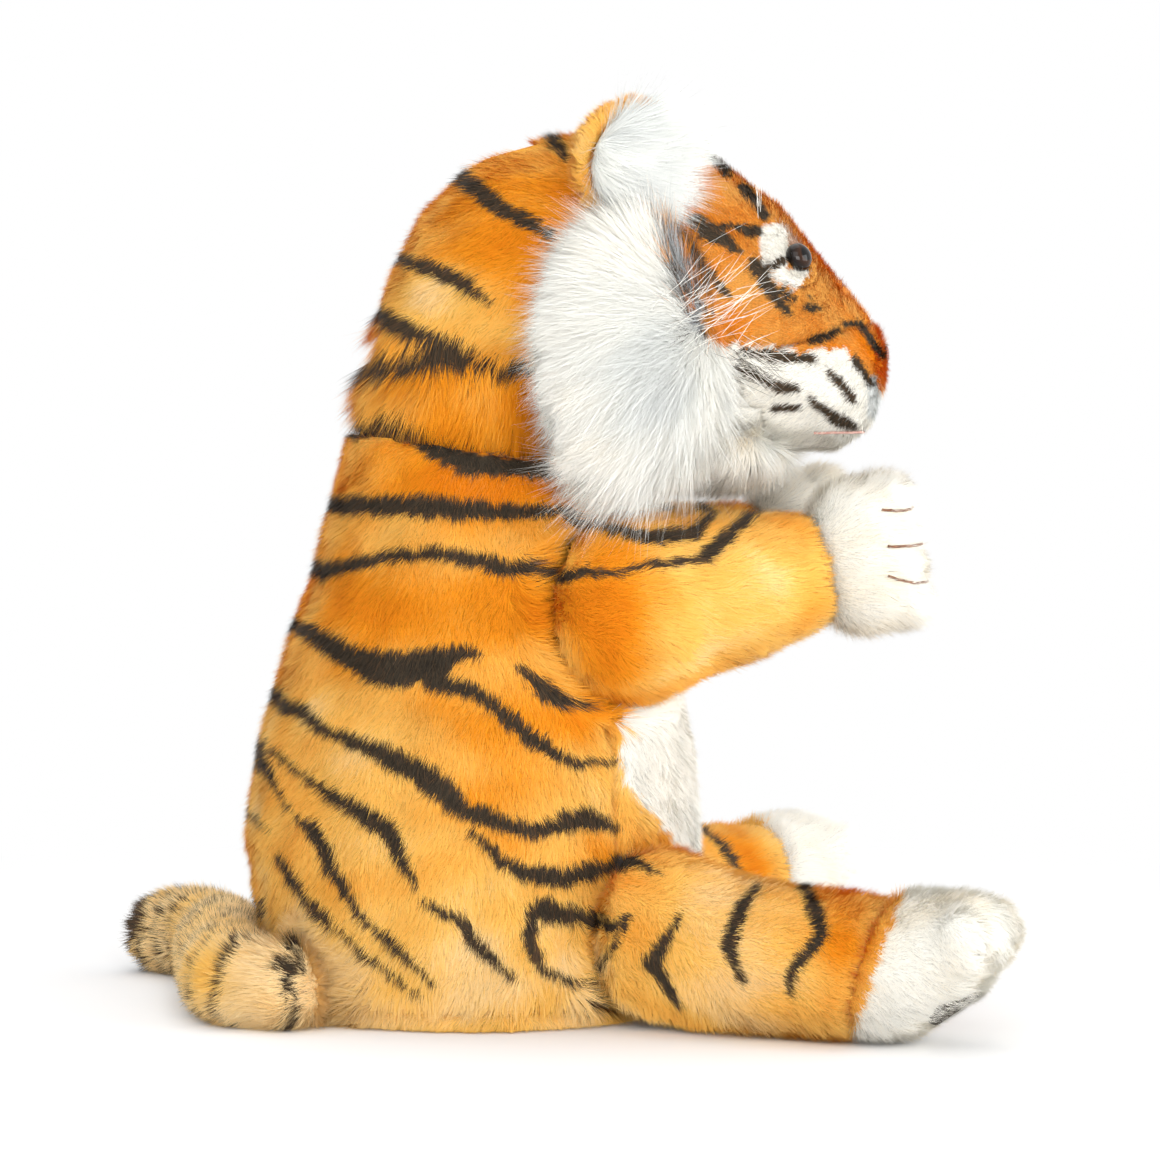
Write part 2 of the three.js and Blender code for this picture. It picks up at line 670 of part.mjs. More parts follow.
// Right leg, built about the hip with +X towards the foot
const legPose = new THREE.Matrix4().makeTranslation(hip.point.x, hip.point.y, hip.point.z);
legPose.multiply(new THREE.Matrix4().makeRotationAxis(UP, radians(-LEG_SPLAY)));

function makeLeg(side) {
  const bodySeen = moved(bodyBlock, legPose.clone().invert());
  const drops = Array.from({ length: LEG_STEPS + 1 }, (_, step) => (-LEG_DOWN * step) / LEG_STEPS);
  const poses = [...drops, LEG_UP].map((lift) => turnAbout(origin, ASIDE, -lift));
  const floor = shifted(underFloor, 0, 0, -HIP.height);
  const slope = new THREE.Matrix4().makeRotationAxis(ASIDE, radians(ANKLE_SLOPE));
  const ankle = (gap) => shifted(moved(box(gap, FAR, -FAR, FAR, -FAR, FAR), slope), ANKLE, 0, 0);
  const inner = (inset) => form(LEG, { inset }).add(form(FOOT, { inset }));
  const leg = form(LEG).subtract(inner(LIMB_PLUSH)).subtract(ankle(0));
  const sole = form(FOOT, { inset: -SEAM - SOLE_PAD.thick }).subtract(form(FOOT, { inset: -SEAM }));
  const place = (offset) => [FOOT_TOE.at, offset, FOOT_TOE.up];
  const foot = withToes(form(FOOT), FOOT_TOE, place).subtract(inner(LIMB_PLUSH)).intersect(ankle(SEAM));
  const padPose = new THREE.Matrix4().makeTranslation(SOLE_PAD.at, 0, SOLE_PAD.up);
  padPose.multiply(new THREE.Matrix4().makeRotationAxis(ASIDE, radians(SOLE_PAD.face)));
  const pad = rod(SOLE_PAD.long / 2, SOLE_PAD.wide, SOLE_PAD.long);
  const group = new THREE.Group();
  legPose.decompose(group.position, group.quaternion, group.scale);
  group.add(piece(`${side}_leg_skin`, carve(leg, bodySeen, poses).subtract(floor), ORANGE));
  group.add(piece(`${side}_hind_paw`, foot.subtract(floor), WHITE));
  group.add(piece(`${side}_leg_stuffing`, carve(inner(LIMB_PLUSH + FILL_GAP), bodySeen, poses), FILLING));
  group.add(piece(`${side}_sole_pad`, sole.intersect(moved(pad, padPose)).subtract(floor), BLACK));
  return group;
}

// Tail: one round skin along the floor, its dark tip and its filling
const tailHeight = TAIL_RADIUS * Math.cos(Math.PI / TAIL_SIDES);
const tailCurve = new THREE.CatmullRomCurve3(TAIL_PATH.map(([x, y]) => new THREE.Vector3(x, y, tailHeight)));

function tailForm(inset, from, to) {
  const length = tailCurve.getLength();
  const rings = [];
  const rows = Math.ceil((TAIL_ROWS * (to - from)) / length) + 2;
  for (let row = 0; row <= rows; row += 1) {
    const place = from + (to - from) * Math.sin((Math.PI / 2) * (row / rows));
    const centre = tailCurve.getPointAt(place / length);
    const aside = new THREE.Vector3().crossVectors(UP, tailCurve.getTangentAt(place / length));
    const blunt = Math.min((length - place + TAIL_BLUNT) / TAIL_RADIUS, 1);
    const radius = TAIL_RADIUS * Math.sqrt(1 - (1 - blunt) ** 2) - inset;
    const ring = [];
    for (let side = 0; side < TAIL_SIDES; side += 1) {
      const angle = (2 * Math.PI * (side + 0.5)) / TAIL_SIDES;
      const point = centre.clone().addScaledVector(aside, radius * Math.cos(angle));
      ring.push(point.addScaledVector(UP, radius * Math.sin(angle)));
    }
    rings.push(ring);
  }
  return loft(rings);
}

function makeTail() {
  const length = tailCurve.getLength();
  const seam = length - TAIL_TIP_LENGTH;
  const root = tailCurve.getPointAt(0);
  const poses = [0, TAIL_AWAY].map((turn) => turnAbout(root, UP, turn));
  const filling = (inset) => tailForm(inset, inset, length - 2 * inset);
  const hollow = filling(LIMB_PLUSH);
  const tail = new THREE.Group();
  tail.add(piece("tail_skin", carve(tailForm(0, 0, seam).subtract(hollow), bodyBlock, poses), ORANGE));
  tail.add(piece("tail_tip", tailForm(0, seam + SEAM, length).subtract(hollow), BLACK));
  tail.add(piece("tail_stuffing", carve(filling(LIMB_PLUSH + FILL_GAP), bodyBlock, poses), FILLING));
  return tail;
}

// The whole puppet, its middle over the origin
const puppet = new THREE.Group();
puppet.add(makeBody(), makeNeckBand(), makeHead(), makeTail());
for (const [side, sign] of [["right", 1], ["left", -1]]) {
  const limbs = new THREE.Group();
  limbs.add(makeArmholeBand(side), makeArm(side), makeLeg(side));
  limbs.scale.y = sign;
  puppet.add(limbs);
}
const footprint = new THREE.Box3().setFromObject(puppet, true);
const middle = footprint.getCenter(new THREE.Vector3());
puppet.position.set(-middle.x, -middle.y, -footprint.min.z);

export default puppet;
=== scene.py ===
"""Looks of a plush tiger hand puppet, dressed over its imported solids.

Metres, +Z up. The tiger faces +X and stands on its hem at z = 0.
"""

import logging
import math
from dataclasses import dataclass, field
from enum import Enum
from typing import Optional

import bmesh
import bpy
import numpy as np
from mathutils import Matrix, Vector
from mathutils.bvhtree import BVHTree


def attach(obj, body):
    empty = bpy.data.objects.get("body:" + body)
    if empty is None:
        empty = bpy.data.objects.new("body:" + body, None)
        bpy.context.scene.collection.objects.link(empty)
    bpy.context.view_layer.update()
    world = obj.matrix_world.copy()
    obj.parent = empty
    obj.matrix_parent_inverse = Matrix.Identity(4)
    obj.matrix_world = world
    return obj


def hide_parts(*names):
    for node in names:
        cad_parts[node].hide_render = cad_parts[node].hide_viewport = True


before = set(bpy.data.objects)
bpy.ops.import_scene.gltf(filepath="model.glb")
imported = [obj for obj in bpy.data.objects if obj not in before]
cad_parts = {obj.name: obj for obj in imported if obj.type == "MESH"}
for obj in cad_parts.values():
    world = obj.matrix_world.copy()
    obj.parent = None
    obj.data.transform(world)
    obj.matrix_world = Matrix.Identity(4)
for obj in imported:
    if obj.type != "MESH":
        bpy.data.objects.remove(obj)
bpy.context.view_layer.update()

LOG = logging.getLogger("tiger")
MM = 0.001
UP = np.array((0.0, 0.0, 1.0))
TINY = 1e-12
FAR_OFF = 1e9
MERGE = 0.01 * MM
FLOOR_GAP = 0.2 * MM
LOOKS_OUT = 0.05
PILE_MAP = "OFBake"
COAT_DYE = "coat_dye"
GLOVE_X = -20.753 * MM

Array = np.ndarray
Place = tuple[float, float, float]
Line = tuple[Place, ...]
Edge = tuple[tuple[float, float], ...]
Colour = tuple[int, int, int]
SIDES = (("right", -1.0), ("left", 1.0))


def unit(vectors: Array) -> Array:
    """Vectors of length one."""
    return vectors / np.maximum(np.linalg.norm(vectors, axis=-1, keepdims=True), TINY)


def turned(vector: Place, degrees: float) -> Array:
    """A vector turned about the upright axis."""
    return np.array(Matrix.Rotation(math.radians(degrees), 3, "Z") @ Vector(vector))


def smooth_step(values: Array, low: float, high: float) -> Array:
    """0 below low, 1 above high, and an even ease between."""
    share = np.clip((values - low) / (high - low), 0, 1)
    return share * share * (3 - 2 * share)


def along_edge(values: Array, edge: Edge) -> Array:
    """The second measure of a line of points where its first has the given values."""
    return np.interp(values, [first for first, _ in edge], [second for _, second in edge])


def read(items: bpy.types.bpy_prop_collection, name: str, kind: type = np.float32) -> Array:
    """One measure of three numbers of every item in a mesh, in rows."""
    values = np.empty(len(items) * 3, kind)
    items.foreach_get(name, values)
    return values.reshape(-1, 3)


def as_light(colour: Colour) -> tuple[float, ...]:
    """A screen colour, from 0 to 255, as light by the sRGB curve."""
    return tuple(
        c / 12.92 if c <= 0.04045 else ((c + 0.055) / 1.055) ** 2.4
        for c in (v / 255 for v in colour)
    )


class Tone(Enum):
    """Places of the plush colours along the dye strip that every pile reads."""

    TAN = 0.01
    RUST = 0.05
    ORANGE = 0.11
    GOLD = 0.20
    CREAM = 0.29
    WHITE = 0.40
    COOL = 0.47
    GREY = 0.56
    PINK = 0.64
    BROWN = 0.72
    DARK = 0.82
    BLACK = 0.94


@dataclass(frozen=True)
class Dye:
    """One colour on the dye strip, as seen on screen from 0 to 255."""

    tone: Tone
    colour: Colour


DYES = (
    Dye(Tone.TAN, (224, 158, 74)),
    Dye(Tone.RUST, (230, 128, 8)),
    Dye(Tone.ORANGE, (244, 156, 30)),
    Dye(Tone.GOLD, (252, 200, 100)),
    Dye(Tone.CREAM, (254, 230, 184)),
    Dye(Tone.WHITE, (253, 250, 241)),
    Dye(Tone.COOL, (236, 238, 234)),
    Dye(Tone.GREY, (160, 163, 166)),
    Dye(Tone.PINK, (214, 176, 150)),
    Dye(Tone.BROWN, (116, 80, 50)),
    Dye(Tone.DARK, (72, 63, 51)),
    Dye(Tone.BLACK, (34, 30, 27)),
)


DARK_FROM = 0.75
DARK_SPREAD, TONE_SPREAD = 0.04, 0.011
STRIP_END = 0.985


def dyed(tones: Array) -> Array:
    """The colours, as light, of places on the dye strip."""
    places = [dye.tone.value for dye in DYES]
    colours = np.array([as_light(dye.colour) for dye in DYES])
    return np.stack([np.interp(tones, places, colours[:, k]) for k in range(3)], axis=-1)


class Drift:
    """A slow seeded wander over space, for the lie of the pile and the depth of its dye."""

    def __init__(self, seed: int, wavelength: float, waves: int = 12) -> None:
        """Draws the waves.

        Args:
            seed: Fixes the draw.
            wavelength: Usual distance from crest to crest.
            waves: How many waves are summed.
        """
        rng = np.random.default_rng(seed)
        pace = 2 * math.pi / (wavelength * rng.uniform(0.6, 1.6, (3, waves, 1)))
        self.pace = unit(rng.normal(size=(3, waves, 3))) * pace
        self.phase = rng.uniform(0, 2 * math.pi, (3, waves))
        self.scale = math.sqrt(2 / waves)

    def value(self, points: Array) -> Array:
        """One wander per point, about -2 to 2."""
        return np.sin(points @ self.pace[0].T + self.phase[0]).sum(1) * self.scale

    def vector(self, points: Array) -> Array:
        """Three wanders per point."""
        waves = [np.sin(points @ p.T + f).sum(1) for p, f in zip(self.pace, self.phase)]
        return np.stack(waves, axis=1) * self.scale


@dataclass(frozen=True)
class Marking:
    """Patches drawn on the tiger's side, in millimetres forward and up, with half widths."""

    lines: tuple[Line, ...]

    def depth(self, spots: Array) -> Array:
        """How far inside the nearest patch each spot lies.

        Args:
            spots: Places on the side view, in millimetres.

        Returns:
            Millimetres inside, negative outside.
        """
        best = np.full(len(spots), -FAR_OFF)
        for line in self.lines:
            for (x0, z0, w0), (x1, z1, w1) in zip(line, line[1:]):
                start, run = np.array((x0, z0)), np.array((x1 - x0, z1 - z0))
                share = np.clip((spots - start) @ run / max(run @ run, TINY), 0, 1)
                gap = np.linalg.norm(spots - start - share[:, None] * run, axis=1)
                best = np.maximum(best, w0 + share * (w1 - w0) - gap)
        return best


BODY_STRIPES = Marking((
    ((-8, 250, 2.7), (7, 239, 2.7), (22, 231, 1.5)),
    ((20, 261, 1.8), (26, 254, 1.8)),
    ((-25, 224, 1.5), (-11, 220, 2.7), (-3, 216, 2.4), (4, 211, 0.9)),
    ((-31, 211, 0.6), (-25, 204, 3.3), (-2, 195, 2.4)),
    ((-36, 186, 1.5), (-32, 190, 3), (-9, 194, 3.6), (4, 190, 2.1), (13, 192, 2.1), (26, 187, 0.9)),
    ((-42, 171, 1.8), (-30, 174, 2.7), (-24, 174, 1.8), (-13, 167, 3), (-4, 163, 3.6), (13, 161, 3),
     (31, 160, 1.5)),
    ((-47, 152, 1.5), (-42, 150, 2.7), (-16, 150, 3.6), (8, 148, 2.7), (27, 148, 1.5), (32, 145, 1.8)),
    ((35, 144, 1.5), (53, 140, 2.4), (66, 142, 2.1), (72, 149, 0.9)),
    ((-50, 135, 1.8), (-46, 130, 2.7), (-30, 134, 1.8), (-10, 136, 2.1), (9, 131, 2.7), (26, 129, 2.1),
     (34, 131, 1.5)),
    ((34, 131, 1.2), (42, 130, 0.6), (67, 134, 1.5), (71, 137, 2.7), (85, 149, 1.2)),
    ((-56, 115, 1.8), (-35, 103, 4.2), (-27, 101, 5.7), (-12, 102, 5.1)),
    ((-12, 104, 3.9), (-3, 106, 2.4), (1, 105, 1.2)),
    ((-13, 98, 3.6), (2, 93, 2.1), (15, 81, 2.7), (30, 72, 1.5), (42, 73, 0.6)),
    ((12, 102, 0.9), (21, 93, 2.7), (26, 91, 2.7), (36, 90, 0.6)),
    ((-63, 98, 1.2), (-57, 89, 2.4), (-51, 88, 2.4), (-46, 83, 1.8), (-29, 76, 3), (-14, 68, 4.2),
     (-2, 58, 3), (16, 52, 2.4), (33, 56, 3.6), (44, 52, 0.6)),
    ((-3, 53, 0.6), (8, 43, 2.1), (16, 39, 3), (26, 38, 3.3), (48, 43, 1.8), (56, 39, 0.6)),
    ((-65, 82, 1.2), (-64, 72, 1.8), (-56, 59, 0.6)),
    ((-61, 76, 0.9), (-47, 65, 1.5), (-27, 53, 3.6), (-18, 35, 0.6)),
    ((-16, 31, 0.9), (-6, 25, 2.1), (2, 16, 2.1), (13, 6, 0.6)),
    ((-54, 56, 0.9), (-49, 53, 2.4), (-43, 40, 2.4), (-36, 28, 0.9), (-25, 18, 1.8), (-12, 5, 0.4)),
    ((-60, 44, 0.9), (-56, 39, 2.1), (-44, 22, 0.9)),
    ((-49, 31, 0.6), (-33, 14, 1.2), (-17, 2, 0.4)),
    ((-71, 60, 1.5), (-62, 52, 0.6)),
    ((-64, 31, 1.2), (-64, 26, 0.9)),
    ((17, 28, 2.7), (21, 28, 3.6), (42, 23, 1.8), (47, 26, 0.9)),
    ((17, 27, 2.4), (15, 20, 1.8), (20, 10, 1.5), (34, 4, 0.9)),
    ((46, 23, 0.6), (35, 6, 1.2), (39, 1, 1.5)),
    ((62, 26, 0.6), (54, 12, 3), (62, -1, 0.6)),
    ((85, 35, 1.2), (80, 28, 2.4), (77, 17, 2.4), (82, 5, 0.6)),
    ((98, 36, 1.2), (103, 29, 2.4), (105, 21, 2.4), (96, 9, 1.5), (96, 3, 0.9)),
))
FACE_STRIPES = Marking((
    ((66, 258, 1.2), (70, 254, 2.1), (74, 249.5, 1.2)),
    ((79, 245, 1.5), (85.5, 237, 1.5)),
    ((73, 234, 0.9), (83, 232.5, 2.1)),
    ((65, 235, 2.4), (69.5, 232, 3), (79.5, 225.5, 0.9)),
    ((83, 222, 2.4), (90, 211, 1.8), (93.5, 208, 0.9)),
    ((57, 235.5, 1.4), (67, 222, 2.1), (75, 213, 1)),
    ((86, 221, 1.2), (91.5, 223.5, 1.4)),
    ((97, 224, 0.8), (98, 221, 0.8)),
    ((79.5, 196.5, 0.9), (88.5, 195, 1.8), (99.5, 194.5, 1.2)),
    ((77.5, 192, 0.9), (90.5, 186, 1.8), (95.5, 185.5, 0.9)),
    ((91, 214.5, 1.2), (94, 212.5, 1.2)),
    ((98, 209.5, 1.2), (101.5, 209.5, 1.2)),
    ((99, 212.5, 0.6), (99.5, 212.5, 0.6)),
    ((100, 199.5, 1.2), (104, 201, 1.8), (107.5, 202, 0.9)),
    ((109.5, 205, 0.9), (113.5, 205, 1.2), (120.5, 195, 0.9)),
    ((112.5, 194, 1.2), (117.5, 187, 1.2)),
    ((104.5, 191, 0.6), (109, 186, 1.5), (112, 182.5, 1.5)),
    ((98.5, 183, 0.6), (104, 178.5, 1.5), (108.5, 175.5, 2.1), (112.5, 174, 1.2)),
    ((88.5, 179.5, 1.2), (95.5, 180, 1.2)),
))
CHEEK_GREYS = Marking((((50, 238, 2.0), (57, 227, 4.5), (63, 214, 5.5), (66, 203, 4.0)),))
RUFF_EDGE = ((170, 80), (182, 79), (193, 76), (203, 68), (209, 63), (221, 57), (236, 50), (242, 45))
# painted shade: grey on the white front of the muzzle, where it is seen edge on
MUZZLE_PAINTED_SHADE = Marking((((117.5, 188, 1.6), (118.5, 178, 2.2)),))
EYE_WHITES = Marking((
    ((88.2, 230.6, 4.2), (89.0, 224.6, 4.3)),
    ((90.0, 219.4, 2.2), (94.5, 218.0, 2.8), (97.2, 219.8, 1.6)),
))
BROW_PINKS = Marking((((91.8, 233.9, 2.1), (94.8, 229.4, 2.1)),))
BROW_GAP = 15 * MM
LIP_EDGE = ((76.5, 198.2), (96.0, 197.0), (110.1, 197.3), (112.8, 193.7), (117.9, 186.8),
            (121.2, 181.7))


@dataclass(frozen=True)
class SideView:
    """The tiger's side, as the markings are drawn on it: turned a little, from a stand-off."""

    turn: float = 10.0
    stand_off: float = 1300.0
    height: float = 200.0

    def spots(self, points: Array) -> Array:
        """Places on the side view, in millimetres, of points on the right half.

        Args:
            points: Points in metres.

        Returns:
            Forward and up, in millimetres.
        """
        across, deep = math.cos(math.radians(self.turn)), math.sin(math.radians(self.turn))
        x, y, z = (points[:, 0] - GLOVE_X) / MM, points[:, 1] / MM, points[:, 2] / MM
        far = 1 + (deep * x + across * y) / self.stand_off
        return np.stack(((across * x - deep * y) / far, self.height + (z - self.height) / far), axis=1)


SIDE = SideView()


def right_half(points: Array) -> Array:
    """Points folded over to the tiger's right half."""
    return np.stack((points[:, 0], -np.abs(points[:, 1]), points[:, 2]), axis=1)


def side_spots(points: Array) -> Array:
    """Places on the side view of points on either half."""
    return SIDE.spots(right_half(points))


@dataclass(frozen=True)
class Pile:
    """How a plush pile is cut and brushed. Angles are from upright, in degrees."""

    length: float
    per_mm2: float
    width: float = 0.28 * MM
    lean_root: float = 38.0
    lean_tip: float = 74.0
    stray: float = 0.13
    muss: float = 0.16
    muss_span: float = 18 * MM
    clump: float = 0.3
    clump_span: float = 2.2 * MM
    uneven: float = 0.2
    bends: int = 1
    sink: float = 0.5 * MM
    guard: float = 0.0
    guard_long: float = 1.6


@dataclass(frozen=True)
class Seam:
    """A round joint that the pile is brushed over, so that it stays hidden."""

    middle: Place
    radius: float
    way: Place
    span: float = 12 * MM
    longer: float = 4 * MM
    lift: float = 14.0
    facing: Optional[Place] = None

    def share(self, points: Array) -> Array:
        """1 at the joint, and 0 well away from it."""
        gap = np.linalg.norm(points - np.array(self.middle), axis=1) - self.radius
        return smooth_step(-gap, -self.span, -2 * MM)


class Surface:
    """The outward faces of a piece of plush backing."""

    def __init__(self, pieces: list[bpy.types.Object], core: Optional[Array] = None) -> None:
        """Gathers the faces.

        Args:
            pieces: The backings.
            core: Two ends of the line inside a hollow piece, whose inner faces are left out.
        """
        corners, normals = [], []
        for piece in pieces:
            mesh = piece.data
            mesh.calc_loop_triangles()
            faces = read(mesh.loop_triangles, "vertices", np.int32)
            corners.append(read(mesh.vertices, "co")[faces].astype(float))
            normals.append(read(mesh.vertex_normals, "vector")[faces].astype(float))
        self.corners, self.normals = np.concatenate(corners), np.concatenate(normals)
        if core is not None:
            chosen = outward(self.corners.mean(1), self.normals.mean(1), core)
            self.corners, self.normals = self.corners[chosen], self.normals[chosen]
        self.tree: Optional[BVHTree] = None

    def open_to(self, others: list["Surface"]) -> Array:
        """Which faces lie outside the other surfaces."""
        middles = self.corners.mean(1)
        free = np.ones(len(middles), bool)
        for other in others:
            free &= ~other.holds(middles)
        return free

    def scatter(self, per_mm2: float, rng: np.random.Generator, chosen: Array) -> tuple[Array, Array]:
        """Spreads roots evenly over the chosen faces.

        Args:
            per_mm2: How many roots a square millimetre has.
            rng: Draws the places.
            chosen: Which faces have roots.

        Returns:
            The roots and the normals there.
        """
        corners, normals = self.corners[chosen], self.normals[chosen]
        a, b, c = corners[:, 0], corners[:, 1], corners[:, 2]
        areas = np.linalg.norm(np.cross(b - a, c - a), axis=1) / 2
        count = int(areas.sum() / MM**2 * per_mm2)
        chosen = np.searchsorted(np.cumsum(areas) / areas.sum(), rng.random(count))
        chosen = np.minimum(chosen, len(areas) - 1)
        u, v = rng.random((2, count))
        u, v = np.where(u + v > 1, 1 - u, u), np.where(u + v > 1, 1 - v, v)
        shares = np.stack((1 - u - v, u, v), axis=1)[:, :, None]
        return (corners[chosen] * shares).sum(1), unit((normals[chosen] * shares).sum(1))

    def search(self) -> BVHTree:
        """The faces sorted for quick searches."""
        if self.tree is None:
            places = self.corners.reshape(-1, 3)
            faces = np.arange(len(places)).reshape(-1, 3)
            self.tree = BVHTree.FromPolygons(places.tolist(), faces.tolist())
        return self.tree

    def holds(self, points: Array) -> Array:
        """Which points lie inside the faces."""
        places = self.corners.reshape(-1, 3)
        near = ((points > places.min(0)) & (points < places.max(0))).all(1)
        inside = np.zeros(len(points), bool)
        for k in np.flatnonzero(near):
            spot, normal, _, _ = self.search().find_nearest(points[k])
            inside[k] = (Vector(points[k]) - spot).dot(normal) < 0
        return inside

    def hit(self, start: Array, way: Array, proud: float) -> Optional[Array]:
        """Where a line meets the faces.

        Args:
            start: Where the line starts.
            way: Its direction.
            proud: How far off the face the answer stands.

        Returns:
            The place, or nothing where the line misses.
        """
        spot, normal, _, _ = self.search().ray_cast(start, way)
        return None if spot is None else np.array(spot + normal * proud)


def outward(centres: Array, normals: Array, core: Array) -> Array:
    """Which faces look away from a line inside the piece.

    Args:
        centres: The middles of the faces.
        normals: Their normals.
        core: The two ends of the line.

    Returns:
        True where a face looks outwards.
    """
    run = core[1] - core[0]
    share = np.clip((centres - core[0]) @ run / (run @ run), 0, 1)
    return np.einsum("ij,ij->i", unit(centres - core[0] - share[:, None] * run), normals) > LOOKS_OUT


# Finishes


class Nodes:
    """A material's or a group's node tree, with short ways to add to it."""

    def __init__(self, tree: bpy.types.NodeTree) -> None:
        """Keeps the tree."""
        self.tree = tree

    def add(self, kind: str, **settings: object) -> bpy.types.Node:
        """A new node with its settings."""
        node = self.tree.nodes.new("ShaderNode" + kind)
        for name, value in settings.items():
            setattr(node, name, value)
        return node

    def join(self, output: bpy.types.NodeSocket, target: bpy.types.NodeSocket) -> None:
        """Links two sockets."""
        self.tree.links.new(output, target)

    def noise(self, scale: float, detail: float, vector: Optional[bpy.types.NodeSocket]) -> bpy.types.Node:
        """A noise texture on the given coordinates."""
        node = self.add("TexNoise")
        node.inputs["Scale"].default_value = scale
        node.inputs["Detail"].default_value = detail
        if vector is not None:
            self.join(vector, node.inputs["Vector"])
        return node

    def span(self, value: bpy.types.NodeSocket, low: float, high: float) -> bpy.types.NodeSocket:
        """A value from 0 to 1 spread from low to high."""
        node = self.add("MapRange")
        node.inputs["To Min"].default_value = low
        node.inputs["To Max"].default_value = high
        self.join(value, node.inputs["Value"])
        return node.outputs["Result"]

    def scaled(self, colour: bpy.types.NodeSocket, by: bpy.types.NodeSocket) -> bpy.types.NodeSocket:
        """A colour made lighter or darker by a value."""
        node = self.add("VectorMath", operation="SCALE")
        self.join(colour, node.inputs[0])
        self.join(by, node.inputs["Scale"])
        return node.outputs["Vector"]

    def bump(self, height: bpy.types.NodeSocket, shader: bpy.types.Node, strength: float,
             deep: float = 0.3 * MM) -> None:
        """Raises a shader's surface by a height."""
        node = self.add("Bump")
        node.inputs["Strength"].default_value = strength
        node.inputs["Distance"].default_value = deep
        self.join(height, node.inputs["Height"])
        self.join(node.outputs["Normal"], shader.inputs["Normal"])

    def seen(self) -> bpy.types.NodeSocket:
        """1 for rays that show the background: from the camera, mirrored, or through glass."""
        path = self.add("LightPath")
        total = path.outputs["Is Camera Ray"]
        for ray in ("Is Glossy Ray", "Is Transmission Ray"):
            node = self.add("Math", operation="ADD", use_clamp=True)
            self.join(total, node.inputs[0])
            self.join(path.outputs[ray], node.inputs[1])
            total = node.outputs[0]
        return total

    def blend(self, share: bpy.types.NodeSocket, first: bpy.types.Node, second: bpy.types.Node,
              target: bpy.types.Node) -> None:
        """Feeds an output node with one shader, or by a share with another."""
        node = self.add("MixShader")
        self.join(share, node.inputs[0])
        self.join(first.outputs[0], node.inputs[1])
        self.join(second.outputs[0], node.inputs[2])
        self.join(node.outputs[0], target.inputs["Surface"])


def new_group(name: str, ins: dict[str, str], outs: dict[str, str]) -> bpy.types.NodeTree:
    """An empty shader node group.

    Args:
        name: The group's name.
        ins: Input names and socket kinds.
        outs: Output names and socket kinds.

    Returns:
        The group with its named sockets.
    """
    group = bpy.data.node_groups.new(name, "ShaderNodeTree")
    for side, sockets in (("INPUT", ins), ("OUTPUT", outs)):
        for label, kind in sockets.items():
            group.interface.new_socket(label, in_out=side, socket_type="NodeSocket" + kind)
    return group


class Effects:
    """Node groups that several finishes share."""

    # painted shade along each hair: the colour's scale at the root and at the tip
    PAINTED_ROOT_SHADE = (0.88, 1.02)
    THREAD_WANDER = 0.4
    PATCH_SCALE, PATCH_DETAIL = 60, 3
    HALF = (0, 0.5)

    def __init__(self) -> None:
        """Builds each group once."""
        self.pile = self.pile_colour()
        self.weave = self.cloth_weave()

    def pile_colour(self) -> bpy.types.NodeTree:
        """Dye from a place on the strip, with painted shade that darkens each hair towards its root."""
        group = new_group("pile_colour", {"Tone": "Float", "Height": "Float"}, {"Color": "Color"})
        nodes = Nodes(group)
        given, made = group.nodes.new("NodeGroupInput"), group.nodes.new("NodeGroupOutput")
        strip = nodes.add("ValToRGB")
        stops = strip.color_ramp.elements
        while len(stops) < len(DYES):
            stops.new(1.0)
        for stop, dye in zip(stops, DYES):
            stop.position = dye.tone.value
            stop.color = (*as_light(dye.colour), 1)
        nodes.join(given.outputs["Tone"], strip.inputs["Fac"])
        # painted shade: the dye is scaled down towards the root of each hair
        shade = nodes.span(given.outputs["Height"], *self.PAINTED_ROOT_SHADE)
        nodes.join(nodes.scaled(strip.outputs["Color"], shade), made.inputs["Color"])
        return group

    def cloth_weave(self) -> bpy.types.NodeTree:
        """Crossed threads of plain cloth: a colour mask and a height."""
        group = new_group("cloth_weave", {"Vector": "Vector", "Threads": "Float"},
                          {"Mask": "Float", "Height": "Float"})
        nodes = Nodes(group)
        given, made = group.nodes.new("NodeGroupInput"), group.nodes.new("NodeGroupOutput")
        heights = []
        for axis in ("X", "Z"):
            bands = nodes.add("TexWave", bands_direction=axis)
            bands.inputs["Distortion"].default_value = self.THREAD_WANDER
            nodes.join(given.outputs["Vector"], bands.inputs["Vector"])
            nodes.join(given.outputs["Threads"], bands.inputs["Scale"])
            heights.append(bands.outputs["Fac"])
        total = nodes.add("Math", operation="MULTIPLY")
        nodes.join(heights[0], total.inputs[0])
        nodes.join(heights[1], total.inputs[1])
        nodes.join(total.outputs[0], made.inputs["Height"])
        patches = nodes.noise(self.PATCH_SCALE, self.PATCH_DETAIL, given.outputs["Vector"])
        mixed = nodes.add("Math", operation="ADD")
        nodes.join(nodes.span(total.outputs[0], *self.HALF), mixed.inputs[0])
        nodes.join(nodes.span(patches.outputs["Fac"], *self.HALF), mixed.inputs[1])
        nodes.join(mixed.outputs[0], made.inputs["Mask"])
        return group


@dataclass(frozen=True)
class Finish:
    """A surface finish: its name and the plain numbers of its shader."""

    name: str
    roughness: float = 0.8
    specular: float = 0.25
    sheen: float = 0.0

    def start(self) -> tuple[bpy.types.Material, Nodes, bpy.types.Node]:
        """A new material with its shader set to these numbers.

        Returns:
            The material, its nodes and its shader.
        """
        material = bpy.data.materials.new(self.name)
        material.use_nodes = True
        nodes = Nodes(material.node_tree)
        shader = material.node_tree.nodes["Principled BSDF"]
        shader.inputs["Roughness"].default_value = self.roughness
        shader.inputs["Specular IOR Level"].default_value = self.specular
        shader.inputs["Sheen Weight"].default_value = self.sheen
        return material, nodes, shader


